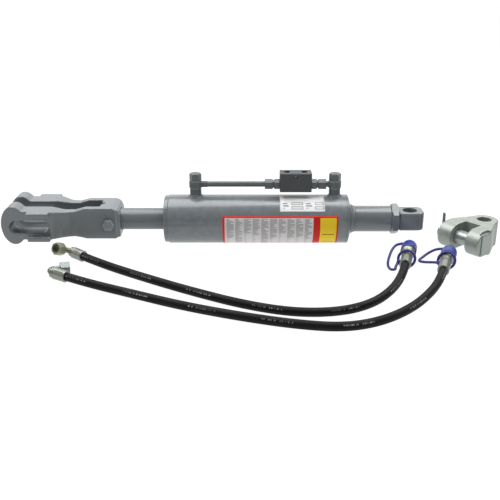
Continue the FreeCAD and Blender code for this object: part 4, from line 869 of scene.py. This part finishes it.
@dataclass
class Turned:
    """A turned shape from an outline of places along its axis and radii."""

    name: str
    outline: Outline
    sides: int = 64
    closed: bool = True
    sharp: float = SHARP
    bore_wall: float = 0.5

    def build(self) -> Piece:
        """Spin the outline about Z, with a face weight of 1 on what lies outside the bore.

        Returns:
            The piece.
        """
        bm = bmesh.new()
        weight = bm.verts.layers.float.new("face")
        bore = min(r for _, r in self.outline)
        rings = []
        for z, r in self.outline:
            ring = [bm.verts.new(polar(r, a, z)) for a in (circle(self.sides) if r > 0 else [0.0])]
            for vert in ring:
                vert[weight] = 1.0 if r > bore + self.bore_wall else 0.0
            rings.append(ring)
        pairs = list(zip(rings, rings[1:]))
        if self.closed:
            pairs.append((rings[-1], rings[0]))
        for near, far in pairs:
            bridge(bm, near, far)
        piece = finished(self.name, bm)
        piece.data.set_sharp_from_angle(angle=math.radians(self.sharp))
        return piece


def softened(outline: Outline, radius: float, steps: int = 3) -> Outline:
    """Round an outline's corners with short arcs.

    Args:
        outline: the corners, in order; the first and last stay.
        radius: how far from a corner its arc starts, in millimetres.
        steps: the pieces of each arc.

    Returns:
        The rounded outline.
    """
    rounded = [outline[0]]
    for before, corner, after in zip(outline, outline[1:], outline[2:]):
        a, c, b = Vector(before), Vector(corner), Vector(after)
        cut = min(radius, (a - c).length * CORNER_SHARE, (b - c).length * CORNER_SHARE)
        start = c + (a - c).normalized() * cut
        end = c + (b - c).normalized() * cut
        for step in range(steps + 1):
            t = step / steps
            rounded.append(tuple(start.lerp(c, t).lerp(c.lerp(end, t), t)))
    rounded.append(outline[-1])
    return rounded


def spline_points(route: Sequence[Vector]) -> list[Vector]:
    """Read the smooth line that a route's NURBS spline follows.

    Args:
        route: the control points, in metres.

    Returns:
        Points along the smooth line.
    """
    curve = bpy.data.curves.new("route", "CURVE")
    curve.dimensions = "3D"
    curve.resolution_u = LINE_STEPS
    spline = curve.splines.new("NURBS")
    spline.points.add(len(route) - 1)
    for point, place in zip(spline.points, route):
        point.co = (*place, 1.0)
    spline.order_u = LINE_ORDER
    spline.use_endpoint_u = True
    holder = new_object("route", curve)
    line = evaluated(holder)
    points = [v.co.copy() for v in line.vertices]
    bpy.data.objects.remove(holder)
    bpy.data.curves.remove(curve)
    bpy.data.meshes.remove(line)
    return points


@dataclass
class Tube:
    """A round tube swept along a line, with a UV map in millimetres along and around, from its top."""

    name: str
    line: list[Vector]
    radius: float
    sides: int = 32

    def build(self) -> Piece:
        """Sweep the tube and close its ends.

        Returns:
            The piece.
        """
        bm = bmesh.new()
        uv = bm.loops.layers.uv.new("UVMap")
        tangents = [(b - a).normalized() for a, b in zip(self.line, self.line[1:])]
        tangents.append(tangents[-1])
        side = Vector((0.0, 0.0, 1.0))
        rings: list[list[bmesh.types.BMVert]] = []
        lengths = [0.0]
        for index, (place, tangent) in enumerate(zip(self.line, tangents)):
            if index:
                lengths.append(lengths[-1] + (place - self.line[index - 1]).length)
                tangent = (tangent + tangents[index - 1]).normalized()
            side = (side - tangent * side.dot(tangent)).normalized()
            other = tangent.cross(side)
            rings.append([bm.verts.new(place + (side * math.cos(a) + other * math.sin(a)) * self.radius)
                          for a in circle(self.sides)])
        around = 2.0 * math.pi * self.radius / self.sides
        for index, (near, far) in enumerate(zip(rings, rings[1:])):
            start, end = lengths[index:index + 2]
            for step, face in enumerate(bridge(bm, near, far)):
                ends = ((start, step), (start, step + 1), (end, step + 1), (end, step))
                for loop, (along, turn) in zip(face.loops, ends):
                    loop[uv].uv = (along / MM, turn * around / MM)
        bm.faces.new(list(reversed(rings[0])))
        bm.faces.new(rings[-1])
        return finished(self.name, bm)


def line_length(line: Sequence[Vector]) -> float:
    """Add up the distances along a line of points."""
    return sum((b - a).length for a, b in zip(line, line[1:]))


@dataclass
class WeldRing:
    """A weld bead round a joint, with the ripples that its layers leave."""

    name: str
    place: Matrix
    section: Callable[[float], Outline]
    ripples: int
    depth: float = 0.35
    lean: float = 120.0
    steps_each: int = 7

    def build(self, tree: RuleTree) -> None:
        """Sweep the bead's section round its axis and lay the ripples.

        Args:
            tree: the tree that makes the ripples.
        """
        bm = bmesh.new()
        weight = bm.verts.layers.float.new("face")
        rings = []
        for angle in circle(self.ripples * self.steps_each):
            points = self.section(angle)
            ring = [bm.verts.new(polar(r, angle, z)) for r, z in points]
            for index, vert in enumerate(ring):
                vert[weight] = math.sin(math.pi * max(0, index - 1) / (len(points) - 2))
            rings.append(ring)
        for near, far in zip(rings, rings[1:] + rings[:1]):
            bridge(bm, near, far)
        piece = finished(self.name, bm)
        tree.shape(piece, ARM_PAINT.build(), Ripples=float(self.ripples), Depth=self.depth * MM, Lean=self.lean)
        piece.data.transform(self.place)
        stand_in(piece, ["weld_beads"], ARM_PAINT)


@dataclass
class Cylinder:
    """The barrel with its gland, rear cap, end sleeve, port bosses and welds."""

    tube_radius: float = 45.0
    rear_face: float = 185.4
    sleeve_radius: float = 24.15
    weld_rise: float = 5.0
    weld_run: float = 9.0
    boss_radius: float = 10.5
    boss_weld: float = 3.5
    weld_root: float = 0.3
    sleeve_ripples: int = 96
    boss_ripples: int = 52
    boss_ripple_depth: float = 0.3
    sleeve_sag: float = 0.9
    boss_sag: float = -0.35
    ports: tuple[float, float] = (-99.9, 155.5)
    face_points: int = 8

    def build(self) -> None:
        """Ease the turned pieces and weld them."""
        for node in ("head_gland", "rear_cap", "end_sleeve"):
            ease(node, Edge.BROAD, ARM_PAINT)
        for node in ("front_port_boss", "rear_port_boss"):
            ease(node, Edge.MACHINED, FITTING_PAINT)
        tree = ripple_tree()
        along = frame_at(on_arm(self.rear_face, 0.0, 0.0), ALONG)
        WeldRing("weld_sleeve", along, self.sleeve_section, self.sleeve_ripples).build(tree)
        for name, x in zip(("weld_front_boss", "weld_rear_boss"), self.ports):
            WeldRing(name, Matrix.Translation(on_arm(x, 0.0, 0.0)), self.boss_section, self.boss_ripples,
                     self.boss_ripple_depth).build(tree)

    def hollow(self, start: tuple[float, float], end: tuple[float, float], sag: float) -> Outline:
        """Give points on an arc from one toe of a weld to the other, hollow or full by its sag.

        Args:
            start: the first toe.
            end: the second toe.
            sag: how far its middle leaves the straight line.

        Returns:
            The points.
        """
        a, b = Vector(start), Vector(end)
        middle = (a + b) / 2
        out = Vector((b.y - a.y, a.x - b.x)).normalized()
        bend = middle + out * sag * 2.0
        shares = [step / (self.face_points - 1) for step in range(self.face_points)]
        return [tuple(a.lerp(bend, t).lerp(bend.lerp(b, t), t)) for t in shares]

    def sleeve_section(self, angle: float) -> Outline:
        """Give the section of the bead between the rear cap and the sleeve.

        Args:
            angle: the place round the sleeve, in radians; not used, as the section is the same all round.

        Returns:
            The points.
        """
        r, root = self.sleeve_radius, self.weld_root
        toe, top = (r, self.weld_run), (r + self.weld_rise, 0.0)
        return [(r - root, -root)] + self.hollow(toe, top, self.sleeve_sag)

    def boss_section(self, angle: float) -> Outline:
        """Give the section of the bead between the tube and a port boss.

        Args:
            angle: the place round the boss, in radians.

        Returns:
            The points.
        """
        r = self.boss_radius
        wide = r + self.boss_weld
        drop, inner = (math.sqrt(self.tube_radius ** 2 - (out * math.sin(angle)) ** 2) for out in (wide, r))
        toe, top = (wide, drop), (r, self.tube_radius + self.boss_weld)
        return [(r - self.weld_root, inner - self.weld_root)] + self.hollow(toe, top, self.boss_sag)


@dataclass
class Rod:
    """The piston rod with what rides on it inside the barrel."""

    def build(self) -> None:
        """Finish the rod and piston."""
        paint_nodes(["piston_rod"], CHROME)
        paint_nodes(["piston", "piston_nut"], BRIGHT_STEEL)


@dataclass
class Fork:
    """The slotted fork casting and the bolt across its hub."""

    grain: float = 1.25
    passes: int = 6

    def build(self) -> None:
        """Round the casting's edges and ease its bolt."""
        cast("fork", self.grain, self.passes, ARM_PAINT)
        for node in ("cross_bolt", "cross_nut", "cross_washers"):
            ease(node, Edge.FINE, LIT_WORN_PAINT)


@dataclass
class EyeEnd:
    """The threaded eye and its lock nut."""

    shank_radius: float = 16.5
    shank_start: float = 204.0
    head_back: float = 276.0
    pitch: float = 2.0
    thread_depth: float = 1.2
    rings_each: int = 8
    sides: int = 48
    overlap: float = 1.0
    grain: float = 0.8
    passes: int = 18

    def build(self) -> None:
        """Build the eye's head, its thread and the nut."""
        cut = on_arm(self.head_back, 0.0, 0.0).x
        cast("end_eye", self.grain, self.passes, ARM_PAINT, cut)
        ease("lock_nut", Edge.MACHINED, ARM_PAINT)
        length = self.head_back + self.overlap - self.shank_start
        count = round(length / self.pitch * self.rings_each)
        outline = [(0.0, 0.0)]
        outline += [(length * step / count, self.shank_radius) for step in range(count + 1)]
        outline.append((length, 0.0))
        shank = Turned("eye_thread", outline, self.sides, closed=False).build()
        tree = inward_tree("screw_thread", {"Pitch": 0.002, "Depth": 0.001}, thread_depth)
        tree.shape(shank, BRIGHT_STEEL.build(), Pitch=self.pitch * MM, Depth=self.thread_depth * MM)
        shank.data.transform(frame_at(on_arm(self.shank_start, 0.0, 0.0), ALONG))
        stand_in(shank, ["end_eye"], BRIGHT_STEEL)


@dataclass
class PipeLine:
    """The banjo unions, the pipes between them and their nuts."""

    def build(self) -> None:
        """Ease and finish each fitting."""
        for end in ("front", "rear"):
            for what in ("banjo_bolt", "banjo_ring", "union_nut", "stud_fitting"):
                ease(f"{end}_{what}", Edge.FINE, FITTING_PAINT)
        paint_nodes(["pipe_long", "pipe_short"], FITTING_PAINT)
        paint_nodes(["banjo_washers", "cutting_rings"], BLUE_ZINC)


@dataclass
class CheckValve:
    """The valve block with a poppet and spring for each side."""

    def build(self) -> None:
        """Ease the block and make both springs."""
        ease("valve_block", Edge.MACHINED, BLOCK_PAINT)
        for side in ("left", "right"):
            self.build_spring(side)

    @staticmethod
    def reach(piece: Piece) -> tuple[Vector, Vector]:
        """Give the two ends of a piece's axis, which lies along X.

        Args:
            piece: the piece.

        Returns:
            The low end and the high end.
        """
        corners = [v.co for v in piece.data.vertices]
        low, high = (Vector(choose(c[axis] for c in corners) for axis in range(3)) for choose in (min, max))
        middle = (low + high) / 2
        return Vector((low.x, middle.y, middle.z)), Vector((high.x, middle.y, middle.z))

    def build_spring(self, side: str) -> None:
        """Make the spring behind a poppet, which shortens as the poppet lifts.

        Args:
            side: the end of the block that the poppet is in.
        """
        spring = merged_copy(f"{side}_spring", f"{side}_spring_coil")
        poppet = sum(self.reach(frame["nodes"][f"{side}_poppet"]), Vector()) / 2
        fixed, moving = sorted(self.reach(spring), key=lambda end: -(end - poppet).length)
        spring.data.materials.append(BRIGHT_STEEL.build())
        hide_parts(f"{side}_spring")
        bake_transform(spring, BODY_OF[f"{side}_spring"], BODY_OF[f"{side}_poppet"], start=fixed, end=moving)
        LOG.info("%s spring: %.1f mm", side, (moving - fixed).length / MM)


@dataclass
class Clevis:
    """The loose clevis with its pin and split pin."""

    grain: float = 0.9
    passes: int = 8

    def build(self) -> None:
        """Round the forged clevis and finish its pins."""
        cast("clevis", self.grain, self.passes, ZINC)
        ease("clevis_pin", Edge.MACHINED, PIN_ZINC)
        paint_nodes(["split_pin"], BLUE_ZINC)


@dataclass
class Hose:
    """One hose with its elbow, swivel nut, ferrules, plug, dust cap, cap ring and tether."""

    letter: str
    route: list[Point]
    tether_route: list[Point]
    elbow_finish: Finish
    outer: float = 14.4
    tether_outer: float = 4.8
    ferrule_outer: float = 20.0
    elbow_ferrule: float = 30.0
    plug_ferrule: float = 34.0
    crimp_jaws: int = 8
    crimp: float = 0.5
    neck_length: float = 24.0
    collar_length: float = 12.0
    collar_radius: float = 12.7
    nose_radius: float = 8.0
    nose_length: float = 18.0
    cap_lap: float = 9.0
    cap_radius: float = 14.0
    cap_length: float = 39.0
    ring_swell: float = 0.4
    lug_length: float = 7.5
    elbow_bore: float = 5.0
    plug_bore: float = 4.0
    lip_run: float = 5.0
    lip_slope: float = 1.0
    lip_drop: float = 1.2
    corner: float = 0.8
    fit_gap: float = 0.3
    dome_fullness: float = 0.8
    rim_run: float = 0.6
    rim_drop: float = 0.5
    press_start: float = 2.5
    press_stop: float = 8.0
    fine_start: float = 1.5
    fine_stop: float = 7.5
    fine_steps: int = 14

    def name(self, what: str) -> str:
        """Name one of the hose's nodes."""
        return f"hose_{self.letter}_{what}"

    def plug_axis(self) -> Vector:
        """Give the level direction in which the plug lies."""
        before, end = Vector(self.route[-2]), Vector(self.route[-1])
        return Vector((end.x - before.x, end.y - before.y, 0.0)).normalized()

    def build(self, crimps: RuleTree) -> None:
        """Make the hose and everything on it.

        Args:
            crimps: the tree that presses the ferrules.
        """
        elbow = [frame["nodes"][self.name("elbow")], ease(self.name("swivel_nut"), Edge.FINE, self.elbow_finish)]
        paint_nodes([self.name("elbow")], self.elbow_finish)
        ferrules = self.build_ferrules(crimps)
        plug = ease(self.name("plug"), Edge.FINE, FERRULE_ZINC)
        cap = self.build_cap()
        ring = self.build_ring()
        self.build_hose()
        self.build_tether()

    def build_ferrules(self, crimps: RuleTree) -> list[Piece]:
        """Make the two crimped ferrules.

        Args:
            crimps: the tree that presses the ferrules.

        Returns:
            The ferrules.
        """
        start, following, end = (on_floor(p) for p in (self.route[0], self.route[1], self.route[-1]))
        places = [("elbow_ferrule", frame_at(start, start - following), self.elbow_ferrule, self.elbow_bore),
                  ("plug_ferrule", frame_at(end, self.plug_axis()), self.plug_ferrule, self.plug_bore)]
        made = []
        for what, place, length, bore in places:
            outer = self.ferrule_outer / 2
            lip, lip_radius = length - self.lip_run, outer - self.lip_drop
            corners = [(0.0, bore), (0.0, outer), (lip - self.lip_slope, outer), (lip, lip_radius),
                       (length, lip_radius), (length, bore)]
            low, high = self.fine_start, length - self.fine_stop
            outline = softened(corners, self.corner)
            place_at = next(i for i, (z, _) in enumerate(outline) if z > low)
            steps = self.fine_steps
            outline[place_at:place_at] = [(low + (high - low) * step / steps, outer) for step in range(steps + 1)]
            piece = Turned(self.name(what), outline, 96).build()
            crimps.shape(piece, FERRULE_ZINC.build(), Jaws=float(self.crimp_jaws), Depth=self.crimp * MM,
                         Start=self.press_start * MM, End=(length - self.press_stop) * MM)
            piece.data.transform(place)
            made.append(stand_in(piece, [self.name("ferrules")], FERRULE_ZINC))
        return made

    def build_cap(self) -> Piece:
        """Make the dust cap: a plain skirt under a smooth dome, with the lug that its tether grows from.

        Returns:
            The cap.
        """
        start = self.plug_ferrule + self.neck_length + self.collar_length - self.cap_lap
        inner = self.collar_radius + self.fit_gap
        seat = self.nose_radius + self.fit_gap
        r, tip = self.cap_radius, self.cap_length
        angles = [math.radians(a) for a in DOME_ANGLES]
        dome = [(tip * (0.5 + 0.5 * math.sin(a)), r * math.cos(a) ** self.dome_fullness) for a in angles]
        lap = self.cap_lap + self.fit_gap
        corners = [(tip * 0.5, r), (self.rim_run, r), (0.0, r - self.rim_drop), (0.0, inner), (lap, inner),
                   (lap, seat), (lap + self.nose_length, seat), (lap + self.nose_length, 0.0)]
        outline = [(tip, 0.0)] + list(reversed(dome)) + corners
        cap = Turned(self.name("cap_dome"), outline, 72, closed=False).build()
        origin = on_floor(self.route[-1]) + self.plug_axis() * start * MM
        cap.data.transform(frame_at(origin, self.plug_axis()))
        end, before = on_floor(self.tether_route[0]), on_floor(self.tether_route[1])
        run = (end - before).normalized()
        lug_line = [end, end + run * self.lug_length * MM]
        lug = Tube(self.name("cap_lug"), lug_line, self.tether_outer / 2 * MM, 20).build()
        stand_in(cap, [self.name("dust_cap")], BLUE_PLASTIC)
        stand_in(lug, [self.name("dust_cap")], BLUE_PLASTIC)
        return cap

    def build_ring(self) -> Piece:
        """Make the cap's holding ring as thick as it was moulded.

        Returns:
            The ring.
        """
        ring = merged_copy(self.name("cap_ring"), self.name("cap_ring_moulded"))
        swell = ring.modifiers.new("swell", "DISPLACE")
        swell.strength = self.ring_swell * MM
        swell.mid_level = 0.0
        bake(ring)
        return stand_in(ring, [self.name("cap_ring")], NAVY_PLASTIC)

    def build_hose(self) -> None:
        """Make the hose along its route.
        """
        line = spline_points([on_floor(p) for p in self.route])
        hose = Tube(f"hose_{self.letter}_line", line, self.outer / 2 * MM).build()
        hose.data.materials.append(RUBBER.build())
        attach(hose, BODY_OF[f"hose_{self.letter}"])
        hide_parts(f"hose_{self.letter}")
        LOG.info("hose %s: %.3f m", self.letter, line_length(line))

    def build_tether(self) -> None:
        """Make the cap's tether, which bends as the cap comes off."""
        line = spline_points([on_floor(p) for p in reversed(self.tether_route)])
        tether = Tube(f"hose_{self.letter}_cap_strap", line, self.tether_outer / 2 * MM, 16).build()
        tether.data.materials.append(NAVY_PLASTIC.build())
        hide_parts(self.name("cap_tether"))
        cap_body = BODY_OF[self.name("dust_cap")]
        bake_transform(tether, BODY_OF[f"hose_{self.letter}"], cap_body, start=line[0], end=line[-1])
        LOG.info("tether %s: %.3f m", self.letter, line_length(line))


HOSE_A = Hose(
    "a",
    [(-293.0, -102.0, 10.6), (-254.0, -130.0, 7.4), (-184.0, -180.0, 7.3), (-98.0, -237.0, 7.3),
     (-10.0, -288.0, 7.3), (66.0, -315.0, 7.3), (134.0, -313.0, 7.3), (187.0, -286.0, 7.3),
     (226.0, -241.0, 9.6), (252.0, -190.4, 14.6), (263.5, -150.0, 14.6)],
    [(276.4, -58.3, 17.6), (266.7, -58.4, 17.0), (257.9, -65.7, 12.2), (251.0, -79.9, 7.2),
     (245.1, -96.9, 3.8), (240.7, -114.4, 2.6), (239.1, -130.3, 2.5), (241.3, -142.1, 2.5),
     (249.8, -141.8, 2.9), (250.9, -131.8, 3.9), (255.5, -125.4, 7.0)],
    PALE_ZINC)
HOSE_B = Hose(
    "b",
    [(-303.0, -190.0, 10.6), (-262.0, -210.0, 7.4), (-190.0, -247.0, 7.3), (-104.0, -292.0, 7.3),
     (-14.0, -328.0, 7.3), (70.0, -354.0, 7.3), (138.0, -363.0, 7.3), (196.0, -342.0, 7.3),
     (248.0, -298.0, 7.4), (286.0, -250.0, 10.6), (310.0, -208.0, 14.6), (322.5, -174.0, 14.6)],
    [(342.2, -83.6, 17.6), (334.6, -83.0, 17.4), (325.7, -81.2, 13.2), (316.2, -83.9, 8.6),
     (306.9, -90.5, 4.6), (298.4, -99.1, 2.6), (298.9, -106.2, 2.5), (310.0, -109.4, 2.7),
     (320.6, -116.6, 5.6), (323.9, -123.2, 7.8)],
    BLUE_ZINC)


@dataclass
class Decal:
    """A printed film on the tube, placed along the arm and by degrees up from its front."""

    name: str
    left: float
    right: float
    low: float
    high: float
    finish: Print
    tube_radius: float = 45.0
    thickness: float = 0.12
    step: float = 1.5
    long_step: float = 9.0

    def build(self, tree: RuleTree) -> None:
        """Cut the film flat, wrap it on the tube and give it its thickness.

        Args:
            tree: the tree that wraps the film.
        """
        radius = self.tube_radius
        bottom, top = (math.radians(a) * radius for a in (self.low, self.high))
        columns = max(2, round((self.right - self.left) / self.long_step))
        rows = max(2, round((top - bottom) / self.step))
        bm = bmesh.new()
        uv = bm.loops.layers.uv.new("UVMap")
        grid = [[bm.verts.new((MM * (self.left + (self.right - self.left) * i / columns),
                               MM * (bottom + (top - bottom) * j / rows), 0.0)) for i in range(columns + 1)]
                for j in range(rows + 1)]
        for low, high in zip(grid, grid[1:]):
            for a, b, c, d in zip(low, low[1:], high[1:], high):
                face = bm.faces.new((a, b, c, d))
                face.smooth = True
                for loop in face.loops:
                    loop[uv].uv = (loop.vert.co.x / MM - self.left, loop.vert.co.y / MM - bottom)
        film = finished(self.name, bm, outward=False)
        tree.shape(film, self.finish.build(), Radius=radius * MM)
        wall = film.modifiers.new("film", "SOLIDIFY")
        wall.thickness = self.thickness * MM
        wall.offset = 1.0
        bake(film)
        film.data.transform(Matrix.Translation(on_arm(0.0, 0.0, 0.0)))
        film.data.materials.clear()
        film.data.materials.append(self.finish.build())
        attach(film, BODY_OF["barrel_tube"])
        LOG.info("%s: %d faces", self.name, len(film.data.polygons))


def bordered(left: float, right: float, low: float, high: float, tint: tuple[float, ...]) -> tuple[Box, Box]:
    """Give a plain field inside a grey border of one millimetre."""
    border = Box(left, right, low, high, colour(95, 95, 95))
    return border, Box(left + 1.0, right - 1.0, low + 1.0, high - 1.0, tint)


RED = colour(214, 36, 26)
GREY_INK = colour(140, 140, 140)
BAR_INK = colour(120, 105, 30)
UPPER_FIELD = (13.5, 19.5, colour(215, 216, 217))
LOWER_FIELD = (4.5, 10.5, colour(222, 223, 224))
LONG_PRINT = Print(
    "long_decal", RED, 0.38, cloud=0.05, specular=0.2, boxes=(
        Box(4.0, 165.0, 2.5, 67.3, colour(205, 203, 203)),
        Box(6.0, 164.0, 4.0, 66.0, GREY_INK, rules=1.9, columns=15.8),
        Box(165.0, 177.5, 2.5, 67.3, colour(196, 28, 22)),
        Box(177.5, 207.0, 2.5, 67.3, colour(228, 196, 38)),
        Box(181.5, 203.0, 34.0, 36.0, BAR_INK), Box(181.5, 203.0, 12.0, 14.0, BAR_INK)))
PLATE_PRINT = Print(
    "data_plate", colour(232, 233, 234), 0.38, cloud=0.03, specular=0.2, boxes=(
        *bordered(21.0, 42.0, *UPPER_FIELD), *bordered(21.0, 42.0, *LOWER_FIELD),
        *bordered(64.0, 80.0, *UPPER_FIELD), *bordered(64.0, 80.0, *LOWER_FIELD),
        Box(4.0, 19.0, 5.0, 19.0, GREY_INK, rules=5.0, columns=15.0),
        Box(46.0, 62.0, 5.0, 19.0, GREY_INK, rules=5.0, columns=16.0)))
DECALS = [Decal("decal_long", -50.0, 160.0, -65.0, 25.0, LONG_PRINT),
          Decal("decal_plate", 54.5, 136.0, 35.5, 89.0, PLATE_PRINT)]


@dataclass
class Studio:
    """The pale floor, the soft lights and the camera."""

    camera_place: Vector = field(default_factory=lambda: Vector((-4.18, -1312.84, 516.6)) * MM)
    camera_down: float = 21.9
    lens: float = 54.36
    floor_half: float = 30.0
    floor_tint: tuple[float, ...] = colour(70, 70, 70)
    floor_glow: float = 0.99
    sky: float = 0.28

    def build(self) -> None:
        """Make the floor, lights and camera."""
        bpy.context.scene.view_settings.view_transform = "Standard"
        mesh = bpy.data.meshes.new("studio_floor")
        half = self.floor_half
        mesh.from_pydata([(-half, -half, 0), (half, -half, 0), (half, half, 0), (-half, half, 0)], [], [(0, 1, 2, 3)])
        floor = new_object("studio_floor", mesh)
        material = bpy.data.materials.new("studio_floor")
        Surface(material).fix({
            "Base Color": self.floor_tint, "Roughness": 0.9, "Specular IOR Level": 0.1,
            "Emission Color": (1.0, 1.0, 1.0, 1.0), "Emission Strength": self.floor_glow})
        mesh.materials.append(material)
        self.add_light("key", (-0.75, 0.38, 1.6), (1.5, 1.8), 38.0, (-0.6, 0.2, 0.0))
        self.add_light("second", (0.95, 0.45, 1.6), (1.2, 1.8), 31.0, (0.8, 0.2, 0.0))
        self.add_light("back", (0.0, 2.6, 1.15), (4.2, 1.4), 20.0, (0.0, 0.0, 0.1))
        world = bpy.data.worlds.new("studio")
        bpy.context.scene.world = world
        world.use_nodes = True
        background = world.node_tree.nodes["Background"]
        background.inputs[0].default_value = (1.0, 1.0, 1.0, 1.0)
        background.inputs[1].default_value = self.sky
        camera_data = bpy.data.cameras.new("camera")
        camera_data.lens = self.lens
        camera_data.sensor_width = 36.0
        camera_data.clip_end = 100.0
        camera = new_object("camera", camera_data)
        camera.location = self.camera_place
        camera.rotation_euler = (math.radians(90.0 - self.camera_down), 0.0, 0.0)
        bpy.context.scene.camera = camera

    def add_light(self, name: str, place: Point, size: tuple[float, float], power: float, aim: Point) -> None:
        """Add a soft rectangular light that points at a place, unseen by the camera.

        Args:
            name: the light's name.
            place: where it stands, in metres.
            size: its two sides, in metres.
            power: its power in watts.
            aim: the point that it faces, in metres.
        """
        data = bpy.data.lights.new(name, "AREA")
        data.shape = "RECTANGLE"
        data.size, data.size_y = size
        data.energy = power
        light = new_object(name, data)
        light.location = place
        light.rotation_euler = (Vector(aim) - Vector(place)).to_track_quat("-Z", "Y").to_euler()
        light.visible_camera = False


def main() -> None:
    """Build every sub-assembly in order."""
    logging.basicConfig(level=logging.INFO, format="%(message)s")
    Studio().build()
    for part in frame["record"]["subparts"]:
        paint_nodes([part["node"]], SLOT_FINISHES[Slot(part["material_slot"])])
    crimps = inward_tree("crimp_flats", {"Jaws": 8.0, "Depth": 0.0005, "Start": 0.0, "End": 0.03}, crimp_depth)
    for hose in (HOSE_A, HOSE_B):
        hose.build(crimps)
    for assembly in (Cylinder(), Rod(), Fork(), EyeEnd(), PipeLine(), CheckValve(), Clevis()):
        assembly.build()
    wrap = wrap_tree()
    for decal in DECALS:
        decal.build(wrap)


if __name__ == "__main__":
    main()
